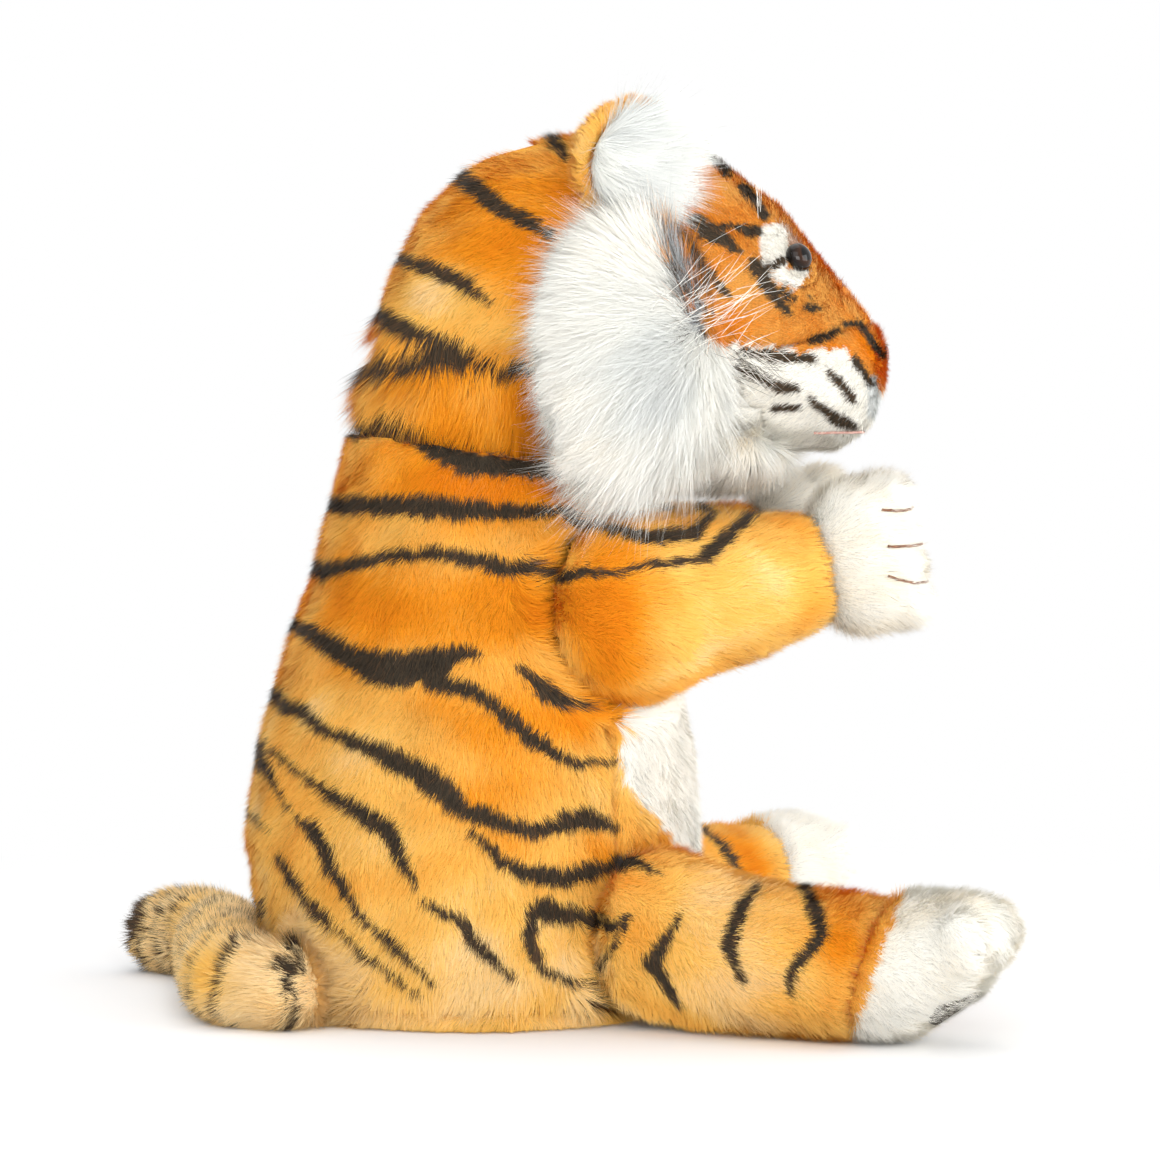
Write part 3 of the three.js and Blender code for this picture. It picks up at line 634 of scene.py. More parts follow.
@dataclass(frozen=True)
class PileFinish(Finish):
    """The hairs of the plush."""

    def make(self, effects: Effects) -> bpy.types.Material:
        """The material, which reads each hair's place on the dye strip from its map."""
        material, nodes, shader = self.start()
        place = nodes.add("UVMap", uv_map=PILE_MAP)
        parts = nodes.add("SeparateXYZ")
        nodes.join(place.outputs["UV"], parts.inputs[0])
        dye = nodes.add("Group", node_tree=effects.pile)
        nodes.join(parts.outputs["X"], dye.inputs["Tone"])
        nodes.join(parts.outputs["Y"], dye.inputs["Height"])
        nodes.join(dye.outputs["Color"], shader.inputs["Base Color"])
        return material


@dataclass(frozen=True)
class BackingFinish(Finish):
    """The knitted backing that the pile stands on."""

    threads: float = 300
    shades: tuple[float, float] = (0.6, 0.85)
    bump: float = 0.3

    def make(self, effects: Effects) -> bpy.types.Material:
        """The material, dyed as the pile above it and knitted."""
        material, nodes, shader = self.start()
        dye = nodes.add("Attribute", attribute_name=COAT_DYE)
        place = nodes.add("TexCoord").outputs["Object"]
        knit = nodes.add("Group", node_tree=effects.weave)
        knit.inputs["Threads"].default_value = self.threads
        nodes.join(place, knit.inputs["Vector"])
        shade = nodes.span(knit.outputs["Mask"], *self.shades)
        nodes.join(nodes.scaled(dye.outputs["Color"], shade), shader.inputs["Base Color"])
        nodes.bump(knit.outputs["Height"], shader, self.bump)
        return material


@dataclass(frozen=True)
class ClothFinish(Finish):
    """Plain woven cloth, as the lining inside the glove."""

    colour: Colour = (206, 150, 84)
    shaded: float = 0.55
    threads: float = 420
    bump: float = 0.5

    def make(self, effects: Effects) -> bpy.types.Material:
        """The material, with its crossed threads."""
        material, nodes, shader = self.start()
        place = nodes.add("TexCoord").outputs["Object"]
        weave = nodes.add("Group", node_tree=effects.weave)
        weave.inputs["Threads"].default_value = self.threads
        nodes.join(place, weave.inputs["Vector"])
        strip = nodes.add("ValToRGB")
        bright = as_light(self.colour)
        strip.color_ramp.elements[0].color = (*(self.shaded * c for c in bright), 1)
        strip.color_ramp.elements[1].color = (*bright, 1)
        nodes.join(weave.outputs["Mask"], strip.inputs["Fac"])
        nodes.join(strip.outputs["Color"], shader.inputs["Base Color"])
        nodes.bump(weave.outputs["Height"], shader, self.bump)
        return material


@dataclass(frozen=True)
class MouldedFinish(Finish):
    """Smooth plastic, satin or thread in one dye with slight clouding."""

    colour: Colour = (24, 20, 18)
    cloud: Colour = (40, 32, 28)
    grain: float = 180.0
    finer: float = 12
    clouds: tuple[float, float] = (0.35, 0.7)
    bump: float = 0.05
    deep: float = 0.2 * MM

    def make(self, effects: Effects) -> bpy.types.Material:
        """The material, clouded and finely grained."""
        material, nodes, shader = self.start()
        place = nodes.add("TexCoord").outputs["Object"]
        clouds = nodes.noise(self.grain, 4, place)
        strip = nodes.add("ValToRGB")
        strip.color_ramp.elements[0].position = self.clouds[0]
        strip.color_ramp.elements[0].color = (*as_light(self.colour), 1)
        strip.color_ramp.elements[1].position = self.clouds[1]
        strip.color_ramp.elements[1].color = (*as_light(self.cloud), 1)
        nodes.join(clouds.outputs["Fac"], strip.inputs["Fac"])
        nodes.join(strip.outputs["Color"], shader.inputs["Base Color"])
        grain = nodes.noise(self.grain * self.finer, 3, place)
        nodes.bump(grain.outputs["Fac"], shader, self.bump, self.deep)
        return material


@dataclass(frozen=True)
class EyeFinish(Finish):
    """A moulded eye: dark iris, black pupil, read from how far out each point is."""

    pupil: Colour = (10, 8, 7)
    rings: tuple[tuple[float, Colour], ...] = ((0.45, (10, 8, 7)), (0.56, (52, 30, 15)), (0.8, (36, 21, 12)))

    def make(self, effects: Effects) -> bpy.types.Material:
        """The material, ringed from the middle out."""
        material, nodes, shader = self.start()
        out = nodes.add("Attribute", attribute_name="eye_out")
        rings = nodes.add("ValToRGB")
        stops = rings.color_ramp.elements
        for place, colour in self.rings:
            stops.new(place).color = (*as_light(colour), 1)
        for stop in (stops[0], stops[-1]):
            stop.color = (*as_light(self.pupil), 1)
        nodes.join(out.outputs["Fac"], rings.inputs["Fac"])
        nodes.join(rings.outputs["Color"], shader.inputs["Base Color"])
        return material


class Wardrobe:
    """Every finish of the puppet, made once."""

    def __init__(self) -> None:
        """Makes the materials."""
        effects = Effects()
        self.pile = PileFinish("plush_pile", roughness=0.85, specular=0.12, sheen=0.06).make(effects)
        self.backing = BackingFinish("plush_backing", roughness=0.95, specular=0.1).make(effects)
        self.lining = ClothFinish("glove_lining_cloth", roughness=0.9, specular=0.15,
                                  sheen=0.1).make(effects)
        self.eye = EyeFinish("eye_gloss", roughness=0.1, specular=0.28).make(effects)
        self.washer = MouldedFinish("washer_plastic", roughness=0.4, specular=0.4).make(effects)
        self.nose = MouldedFinish("nose_satin", roughness=0.45, specular=0.4, sheen=0.3, colour=(150, 92, 80),
                                  cloud=(182, 122, 106), grain=300, bump=0.3).make(effects)
        self.thread = self.thread_finish("brown_thread", (98, 60, 38), (140, 94, 62)).make(effects)
        self.lip = self.thread_finish("lip_thread", (186, 136, 124), (214, 170, 156)).make(effects)

    @staticmethod
    def thread_finish(name: str, colour: Colour, cloud: Colour) -> MouldedFinish:
        """The finish of sewing thread in one dye."""
        return MouldedFinish(name, roughness=0.7, specular=0.25, sheen=0.2, colour=colour, cloud=cloud,
                             grain=400, bump=0.4)


# Plush


def add_piece(name: str, mesh: bpy.types.ID) -> bpy.types.Object:
    """A new object at the origin."""
    piece = bpy.data.objects.new(name, mesh)
    bpy.context.scene.collection.objects.link(piece)
    return piece


def as_mesh(bm: bmesh.types.BMesh, name: str) -> bpy.types.Mesh:
    """A bmesh made a mesh, and freed."""
    mesh = bpy.data.meshes.new(name)
    bm.to_mesh(mesh)
    bm.free()
    return mesh


def fit(piece: bpy.types.Object, body: str, finish: bpy.types.Material,
        nodes: tuple[str, ...] = ()) -> None:
    """Dresses a piece and puts it on its body, in place of its solids.

    Args:
        piece: The piece.
        body: The body that it rides on.
        finish: Its material.
        nodes: The solids that it stands for.
    """
    piece.data.materials.clear()
    piece.data.materials.append(finish)
    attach(piece, body)
    if nodes:
        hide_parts(*nodes)


def merged_copy(nodes: tuple[str, ...]) -> bmesh.types.BMesh:
    """The named solids in one bmesh, their loose triangles merged."""
    bm = bmesh.new()
    for node in nodes:
        bm.from_mesh(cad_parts[node].data)
    bmesh.ops.remove_doubles(bm, verts=bm.verts, dist=MERGE)
    return bm


def smooth(piece: bpy.types.Object, rounds: int, factor: float = 0.5) -> None:
    """Eases a mesh's points towards their neighbours, and shades it smooth."""
    bm = bmesh.new()
    bm.from_mesh(piece.data)
    for _ in range(rounds):
        bmesh.ops.smooth_vert(bm, verts=bm.verts, factor=factor, use_axis_x=True, use_axis_y=True,
                              use_axis_z=True)
    for face in bm.faces:
        face.smooth = True
    bm.to_mesh(piece.data)
    bm.free()


def covered(name: str, nodes: tuple[str, ...], voxel: float, rounds: int) -> bpy.types.Object:
    """Knitted backing pulled over solids.

    Args:
        name: The piece's name.
        nodes: The solids under it.
        voxel: How finely it follows them.
        rounds: How many times it is eased.

    Returns:
        The backing.
    """
    mesh = as_mesh(merged_copy(nodes), name)
    piece = add_piece(name, mesh)
    over = piece.modifiers.new("over", "REMESH")
    over.mode = "VOXEL"
    over.voxel_size = voxel
    shaped = piece.evaluated_get(bpy.context.evaluated_depsgraph_get())
    piece.data = bpy.data.meshes.new_from_object(shaped)
    piece.modifiers.clear()
    bpy.data.meshes.remove(mesh)
    smooth(piece, rounds)
    return piece


LEAN_WANDER = 5.0
LEAN_LEAST, LEAN_MOST = 2, 86
CUT_LEAST, CUT_MOST = 0.45, 1.5
CLUMP_WANDER = 0.4
CLUMP_GROWS = 1.5
TWIST = 0.25
TAPER = 0.45
STRIP_HALF = 0.003
ROOT_AT, TIP_AT = 0.03, 0.97
FACING_WANDER = 0.1


@dataclass
class Growth:
    """Hairs about to grow: roots, the backing's normals, what they look towards, the way they are brushed,
    the degrees they stand up more than the rest, their lengths and their places on the dye strip."""

    roots: Array
    normals: Array
    facing: Array
    lie: Array
    lift: Array
    lengths: Array
    tones: Array


def hairs(name: str, growth: Growth, pile: Pile, seed: int) -> bpy.types.Object:
    """A pile of hairs, each a narrow blade that leans over from its root to its tip.

    Args:
        name: The piece's name.
        growth: The hairs.
        pile: How the pile is cut and brushed.
        seed: Fixes the draw.

    Returns:
        The pile as one mesh.
    """
    rng = np.random.default_rng(seed)
    roots, normals, lie, lift = growth.roots, growth.normals, growth.lie, growth.lift
    lengths, tones = growth.lengths, growth.tones
    count, bends = len(roots), pile.bends
    along = lie + Drift(seed + 1, pile.muss_span).vector(roots) * pile.muss
    along = along + Drift(seed + 4, pile.muss_span / 3).vector(roots) * pile.muss
    along = unit(along - normals * np.einsum("ij,ij->i", along, normals)[:, None])
    stray = rng.normal(size=(count, 3)) * pile.stray
    lean = Drift(seed + 2, pile.muss_span).value(roots) * LEAN_WANDER
    lean = lean + rng.normal(size=count) * LEAN_WANDER - lift
    lengths = lengths * np.clip(1 + rng.normal(size=count) * pile.uneven, CUT_LEAST, CUT_MOST)
    lengths = lengths * np.where(rng.random(count) < pile.guard, pile.guard_long, 1.0)
    rows, ways = [roots - normals * pile.sink], []
    for step in range(bends):
        share = (step + 0.5) / bends
        angle = pile.lean_root + (pile.lean_tip - pile.lean_root) * share + lean
        angle = np.radians(np.clip(angle, LEAN_LEAST, LEAN_MOST))
        way = unit(normals * np.cos(angle)[:, None] + along * np.sin(angle)[:, None] + stray)
        ways.append(way)
        rows.append(rows[-1] + way * (lengths / bends)[:, None])
    wander = Drift(seed + 3, pile.clump_span * 4).vector(roots) * CLUMP_WANDER
    cells = np.floor(roots / pile.clump_span + wander)
    _, lead, member = np.unique(cells.astype(np.int64), axis=0, return_index=True, return_inverse=True)
    leader = lead[member.reshape(-1)]
    for step in range(1, bends + 1):
        pull = pile.clump * (step / bends) ** CLUMP_GROWS
        rows[step] = rows[step] + (rows[step][leader] - rows[step]) * pull
    aside = unit(np.cross(ways[0], normals) + rng.normal(size=(count, 3)) * TWIST)
    each = 2 * bends + 1
    points = np.empty((count, each, 3))
    spots = np.empty((count, each, 2))
    for step in range(bends):
        half = pile.width / 2 * (1 - TAPER * step / bends)
        points[:, 2 * step] = rows[step] - aside * half
        points[:, 2 * step + 1] = rows[step] + aside * half
        for edge, shift in ((0, -STRIP_HALF), (1, STRIP_HALF)):
            spots[:, 2 * step + edge, 0] = tones + shift
            spots[:, 2 * step + edge, 1] = ROOT_AT + (TIP_AT - ROOT_AT) * step / bends
    points[:, -1] = rows[-1]
    points[:, :, 2] = np.maximum(points[:, :, 2], FLOOR_GAP)
    spots[:, -1, 0], spots[:, -1, 1] = tones, TIP_AT
    cut = []
    for step in range(bends - 1):
        low = 2 * step
        cut += [(low, low + 1, low + 3), (low, low + 3, low + 2)]
    cut.append((each - 3, each - 2, each - 1))
    faces = (np.arange(count)[:, None, None] * each + np.array(cut)[None]).reshape(-1, 3)
    mesh = bpy.data.meshes.new(name)
    mesh.vertices.add(count * each)
    mesh.vertices.foreach_set("co", points.astype(np.float32).ravel())
    mesh.loops.add(faces.size)
    mesh.loops.foreach_set("vertex_index", faces.astype(np.int32).ravel())
    mesh.polygons.add(len(faces))
    mesh.polygons.foreach_set("loop_start", np.arange(0, faces.size, 3, dtype=np.int32))
    mesh.update(calc_edges=True)
    layer = mesh.uv_layers.new(name=PILE_MAP)
    layer.data.foreach_set("uv", spots.reshape(-1, 2)[faces.ravel()].astype(np.float32).ravel())
    mesh.polygons.foreach_set("use_smooth", np.ones(len(faces), bool))
    facing = unit(growth.facing + unit(stray) * FACING_WANDER)
    mesh.normals_split_custom_set_from_vertices(np.repeat(facing, each, axis=0))
    return add_piece(name, mesh)


@dataclass(frozen=True)
class Cut:
    """A piece of cloth as it was cut: its flat width and length, its flat area, and what it lies on."""

    width: float
    length: float
    area: float
    on: tuple[str, ...]

    def declare(self, piece: bpy.types.Object) -> None:
        """Meant to say that a piece is this sheet of cloth, sewn taut; it does nothing."""


@dataclass
class Plush:
    """A plush piece: a backing over its solids, and the pile that stands on it."""

    name: str
    nodes: tuple[str, ...]
    body: str
    slot: str
    pile: Pile
    seed: int
    voxel: float = 2.2 * MM
    rounds: int = 4
    fill: Optional[float] = None
    cut: Optional[Cut] = None
    hollow: Optional[Array] = None
    seams: tuple[Seam, ...] = ()
    shown: float = 0.5
    ragged: float = 0.4 * MM
    brushed: Place = (-0.2, 0.0, -1.0)
    backing: bpy.types.Object = field(init=False, repr=False)
    face: Surface = field(init=False, repr=False)

    def sew(self) -> None:
        """Pulls the backing over the solids."""
        self.backing = covered(self.name, self.nodes, self.voxel, self.rounds)

    def settle(self) -> None:
        """Puts the backing on its body in place of its solids."""
        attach(self.backing, self.body)
        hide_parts(*self.nodes)
        if self.cut is not None:
            self.cut.declare(self.backing)
        self.face = Surface([self.backing], self.hollow)

    def lie(self, points: Array, normals: Array) -> Array:
        """The way the pile is brushed at each point."""
        return np.tile(self.brushed, (len(points), 1))

    def tone(self, points: Array) -> Array:
        """Each point's place on the dye strip."""
        return np.full(len(points), Tone.WHITE.value)

    def length(self, points: Array) -> Array:
        """How long the pile is at each point."""
        return np.full(len(points), self.pile.length)

    def bare(self, points: Array, normals: Array) -> Array:
        """Which points grow no pile."""
        return np.zeros(len(points), bool)

    def brush(self, wardrobe: Wardrobe, others: list[Surface]) -> None:
        """Dyes the backing and grows the pile.

        Args:
            wardrobe: The finishes.
            others: Surfaces that cover parts of this piece.
        """
        mesh = self.backing.data
        dyes = dyed(self.tone(read(mesh.vertices, "co").astype(float)))
        layer = mesh.attributes.new(COAT_DYE, "FLOAT_COLOR", "POINT")
        layer.data.foreach_set("color", np.hstack((dyes, np.ones((len(dyes), 1)))).astype(np.float32).ravel())
        mesh.materials.clear()
        mesh.materials.append(wardrobe.backing)
        rng = np.random.default_rng(self.seed)
        roots, normals = self.face.scatter(self.pile.per_mm2, rng, self.face.open_to(others))
        free = ~self.bare(roots, normals)
        roots, normals = roots[free], normals[free]
        lie, long, lift = unit(self.lie(roots, normals)), self.length(roots), np.zeros(len(roots))
        facing = normals
        for seam in self.seams:
            share = seam.share(roots)
            lie = lie * (1 - share)[:, None] + np.array(seam.way) * share[:, None]
            long, lift = long + share * seam.longer, lift + share * seam.lift
            if seam.facing is not None:
                facing = facing * (1 - share)[:, None] + np.array(seam.facing) * share[:, None]
        flat = unit(lie - normals * np.einsum("ij,ij->i", lie, normals)[:, None])
        ragged = rng.normal(size=(len(roots), 3)) * self.ragged
        tones = self.tone(roots + flat * (long * self.shown)[:, None] + ragged)
        spread = np.where(tones > DARK_FROM, DARK_SPREAD, TONE_SPREAD)
        tones = np.clip(tones + rng.normal(size=len(tones)) * spread, Tone.TAN.value, STRIP_END)
        grown = hairs(self.name + "_pile", Growth(roots, normals, facing, lie, lift, long, tones), self.pile,
                      self.seed + 10)
        fit(grown, self.body, wardrobe.pile)
        LOG.info("%s: %d hairs on %d backing faces", self.name, len(roots), len(mesh.polygons))


DEPTH = Drift(71, 46 * MM)
PATCHES = Drift(72, 17 * MM)
RAGGED = Drift(73, 5 * MM)


@dataclass(frozen=True)
class Shade:
    """A soft patch on the side view that deepens the colour, or pales it for a negative depth, used for dye
    patches, painted shade and painted light: its middle, half sizes and depth.
    """

    at: tuple[float, float]
    half: tuple[float, float]
    depth: float

    def share(self, spots: Array) -> Array:
        """How much of its depth the patch has at each spot."""
        return np.exp(-(((spots - np.array(self.at)) / np.array(self.half)) ** 2).sum(1)) * self.depth


# Soft patches on the side view that deepen the orange, or pale it where the depth is negative. The patch at
# the shoulder crease and the one under the arm are painted shade; the pale patches at the tail root and along
# the hem are painted light.
DYE_AND_PAINTED_SHADING = (
    Shade((6, 235), (30, 20), 0.055),
    Shade((20, 176), (12, 22), 0.06),
    Shade((-6, 157), (44, 9), 0.06),
    Shade((0, 118), (42, 13), 0.11),
    # painted shade in the crease where the arm meets the body
    Shade((41, 108), (9, 20), 0.09),
    # painted shade under the arm
    Shade((24, 86), (26, 9), 0.06),
    Shade((42, 45), (30, 9), 0.075),
    Shade((112, 16), (9, 22), 0.11),
    Shade((96, 152), (7, 7), 0.1),
    # painted light where the tail root lies in shadow
    Shade((-52, 12), (14, 14), -0.06),
    # painted light along the hem, where the floor shades it
    Shade((0, 0), (70, 14), -0.055),
    Shade((-14, 212), (18, 8), -0.05),
    Shade((97, 128), (14, 10), -0.04),
)


COAT_USUAL, COAT_PALEST = 0.15, 0.24
COAT_PALER = 0.03
PALER_FROM, PALER_FULL = 150 * MM, 40 * MM
DEPTH_SHARE, PATCH_SHARE = 0.016, 0.012
STRIPE_ROUGH = 0.25
STRIPE_DARKER = 0.03


def orange(points: Array) -> Array:
    """Orange that runs from rust in soft patches to gold low down and on the limbs, with painted shade in the
    shoulder crease and under the arm, and painted light at the tail root and along the hem.
    """
    low = smooth_step(-points[:, 2], -PALER_FROM, -PALER_FULL)
    tone = COAT_USUAL + COAT_PALER * low
    tone = tone + DEPTH.value(points) * DEPTH_SHARE + PATCHES.value(points) * PATCH_SHARE
    spots = side_spots(points)
    for shade in DYE_AND_PAINTED_SHADING:
        tone = tone - shade.share(spots)
    return np.clip(tone, Tone.RUST.value, COAT_PALEST)


def striped(points: Array, base: Array) -> Array:
    """A coat with the dark stripes laid over it."""
    depth = BODY_STRIPES.depth(side_spots(points)) + RAGGED.value(points) * STRIPE_ROUGH
    dark = Tone.DARK.value + STRIPE_DARKER * np.clip(depth - 1, -1, 1)
    return np.where(depth > 0, dark, base)


@dataclass
class SidePlush(Plush):
    """An orange side of the glove, striped."""

    neck_low: float = 158 * MM
    neck_top: float = 173 * MM
    neck_share: float = 0.6
    hem_top: float = 15 * MM
    hem_share: float = 0.6
    hem_more: float = 2.5 * MM

    def length(self, points: Array) -> Array:
        """Shorter where the head's pile comes down over it, and longer over the hem."""
        near = smooth_step(points[:, 2], self.neck_low, self.neck_top)
        low = smooth_step(-points[:, 2], -self.hem_top, -self.hem_share * self.hem_top)
        return self.pile.length * (1 - (1 - self.neck_share) * near) + self.hem_more * low

    def tone(self, points: Array) -> Array:
        """Orange with the dark stripes."""
        return striped(points, orange(points))


@dataclass
class BellyPlush(Plush):
    """The white belly."""

    edge: Edge = ((40, 66), (61, 48), (71, 43), (88, 45), (100, 50))
    edge_rough: float = 0.8
    middle: float = 27 * MM
    middle_rough: float = 1 * MM
    clouding: float = 0.01

    def tone(self, points: Array) -> Array:
        """White, with the orange of the sides coming round its edges."""
        spots = side_spots(points)
        edge = along_edge(spots[:, 1], self.edge)
        side = spots[:, 0] < edge + RAGGED.value(points) * self.edge_rough
        side &= np.abs(points[:, 1]) > self.middle + RAGGED.value(points) * self.middle_rough
        white = Tone.WHITE.value + DEPTH.value(points) * self.clouding
        return np.where(side, striped(points, orange(points)), white)


@dataclass
class HemPlush(Plush):
    """The turned hem, orange at the sides and back, white under the belly."""

    half_angle: float = 38.0

    def tone(self, points: Array) -> Array:
        """Orange with stripes, and white in front."""
        angle = np.degrees(np.arctan2(np.abs(points[:, 1]), points[:, 0] - GLOVE_X))
        return np.where(angle < self.half_angle, Tone.WHITE.value, striped(points, orange(points)))


TAIL_ROOT = (-46 * MM, -23 * MM, 12.5 * MM)
SHOULDER = (38.171 * MM, 40.079 * MM, 122 * MM)
HIP = (51.899 * MM, 56.448 * MM, 21 * MM)
ARM_WAY = (0.9799, 0.0, 0.1994)
LEG_WAY = (0.8192, 0.5736, 0.0)


def on_side(place: Place, sign: float) -> Place:
    """A place measured from the glove's middle, on the right (-1) or left (1) side."""
    return GLOVE_X + place[0], sign * place[1], place[2]


def limb_seams(sign: float) -> tuple[Seam, Seam]:
    """Where an arm and a leg leave the body on one side."""
    leg = (LEG_WAY[0], sign * LEG_WAY[1], LEG_WAY[2])
    return (Seam(on_side(SHOULDER, sign), 28 * MM, ARM_WAY, facing=(0.0, sign, 0.1)),
            Seam(on_side(HIP, sign), 27 * MM, leg, facing=(0.0, sign, 0.1)))


@dataclass
class Torso:
    """The glove body: two striped sides, a white belly and the hem."""

    pile_length: float = 4.4 * MM
    hem_length: float = 4.0 * MM
    per_mm2: float = 7.6
    hair: float = 0.24 * MM
    core_x: float = GLOVE_X + 4 * MM
    core_top: float = 190 * MM

    def pieces(self) -> list[Plush]:
        """The four plush pieces."""
        core = np.array(((self.core_x, 0, -10 * MM), (self.core_x, 0, self.core_top)))
        pile = Pile(self.pile_length, self.per_mm2, width=self.hair, clump=0.22)
        hem_pile = Pile(self.hem_length, self.per_mm2, width=self.hair)
        right, left = limb_seams(-1.0), limb_seams(1.0)
        right += (Seam(on_side(TAIL_ROOT, 1.0), 15 * MM, (-0.8, -0.5, 0.0), longer=3 * MM),)
        side = Cut(0.125, 0.170, 0.0195, ("glove_lining",))
        front = Cut(0.105, 0.160, 0.0148, ("glove_lining",))
        edge = Cut(0.375, 0.0135, 0.0049, ("glove_lining",))
        return [
            SidePlush("right_side", ("right_side_panel",), "torso", "orange_plush", pile, 11, hollow=core,
                      seams=right, cut=side),
            SidePlush("left_side", ("left_side_panel",), "torso", "orange_plush", pile, 12, hollow=core,
                      seams=left, cut=side),
            BellyPlush("belly", ("belly_panel",), "torso", "white_plush", pile, 13, hollow=core,
                       seams=right + left, cut=front),
            HemPlush("hem", ("hem_band",), "torso", "orange_plush", hem_pile, 14, voxel=1.6 * MM, hollow=core,
                     seams=right[2:], cut=edge),
        ]


# Head

NECK = np.array((GLOVE_X - 2 * MM, 0.0, 182 * MM))
HEAD_TURN = -10.0
HEAD_AXES = np.array(Matrix.Rotation(math.radians(HEAD_TURN), 3, "Z"))
FACE_FROM, FACE_FULL = 48 * MM, 70 * MM
LIP_FROM = 58 * MM
LIP_ROUGH, MARK_ROUGH = 0.6, 0.15
BRIDGE_TONE, BRIDGE_PALEST, BRIDGE_WANDER = 0.022, 0.1, 0.01
MUZZLE_SHADE_TONE = 0.49


def in_head(points: Array) -> Array:
    """Points as the head has them: from the neck, facing straight forward."""
    return (points - NECK) @ HEAD_AXES


def from_head(points: Array) -> Array:
    """Points of the head back in the shared frame."""
    return points @ HEAD_AXES.T + NECK


def head_right(points: Array) -> Array:
    """Points folded over to the right half of the head."""
    return from_head(right_half(in_head(points)))


def face_spots(points: Array) -> Array:
    """Places on the side view of points on either half of the head."""
    return SIDE.spots(head_right(points))


def face_tone(points: Array) -> Array:
    """Orange above and white below the lip edge, with stripes and eye patches, and painted shade greying the
    front of the muzzle.

    Args:
        points: Points on the head.

    Returns:
        Each point's place on the dye strip.
    """
    spots = face_spots(points)
    ahead, aside = in_head(points)[:, 0], np.abs(in_head(points)[:, 1])
    tan = BRIDGE_TONE + PATCHES.value(points) * BRIDGE_WANDER + DEPTH.value(points) * BRIDGE_WANDER
    front = smooth_step(ahead, FACE_FROM, FACE_FULL)
    base = orange(points) * (1 - front) + np.clip(tan, Tone.TAN.value, BRIDGE_PALEST) * front
    edge = along_edge(spots[:, 0], LIP_EDGE)
    pale = (spots[:, 1] < edge + RAGGED.value(points) * LIP_ROUGH) & (ahead > LIP_FROM)
    base = np.where(pale, Tone.WHITE.value, base)
    base = np.where((BROW_PINKS.depth(spots) > 0) & (aside > BROW_GAP), Tone.PINK.value, base)
    base = np.where(EYE_WHITES.depth(spots) > 0, Tone.WHITE.value, base)
    rough = RAGGED.value(points) * MARK_ROUGH
    marks = np.where(ahead > FACE_FROM, FACE_STRIPES.depth(spots), BODY_STRIPES.depth(spots)) + rough
    # painted shade greys the front edge of the muzzle
    base = np.where(MUZZLE_PAINTED_SHADE.depth(spots) > 0, MUZZLE_SHADE_TONE, base)
    return np.where(marks > 0, Tone.DARK.value, base)


@dataclass
class HeadPlush(Plush):
    """Plush of the head, the muzzle or round an eye, with the face's markings."""

    face_from: float = 52 * MM
    face_full: float = 76 * MM
    face_length: float = 3.0 * MM
    pocket: float = 30 * MM
    ring_top: float = 22 * MM
    pocket_top: float = 76 * MM
    fall: float = 0.15
    nape_fall: float = 1.1
    nape_from: float = 45 * MM
    nape_full: float = -10 * MM

    def bare(self, points: Array, normals: Array) -> Array:
        """The underside that sits in the neck, and the finger pocket's walls."""
        at, lean = in_head(points), in_head(normals + NECK)
        inward = np.einsum("ij,ij->i", at[:, :2], lean[:, :2]) < 0
        near = np.hypot(at[:, 0], at[:, 1]) < self.pocket
        return near & ((at[:, 2] < self.ring_top) | (inward & (at[:, 2] < self.pocket_top)))

    def length(self, points: Array) -> Array:
        """Long at the nape, short on the face."""
        share = smooth_step(in_head(points)[:, 0], self.face_from, self.face_full)
        return self.pile.length + (self.face_length - self.pile.length) * share

    def lie(self, points: Array, normals: Array) -> Array:
        """From the nose back, and down at the nape."""
        at = in_head(points)
        down = self.fall + self.nape_fall * smooth_step(-at[:, 0], -self.nape_from, -self.nape_full)
        way = np.stack((-np.ones(len(at)), np.zeros(len(at)), -down), axis=1)
        return from_head(way) - NECK

    def tone(self, points: Array) -> Array:
        """The face's markings."""
        return face_tone(points)


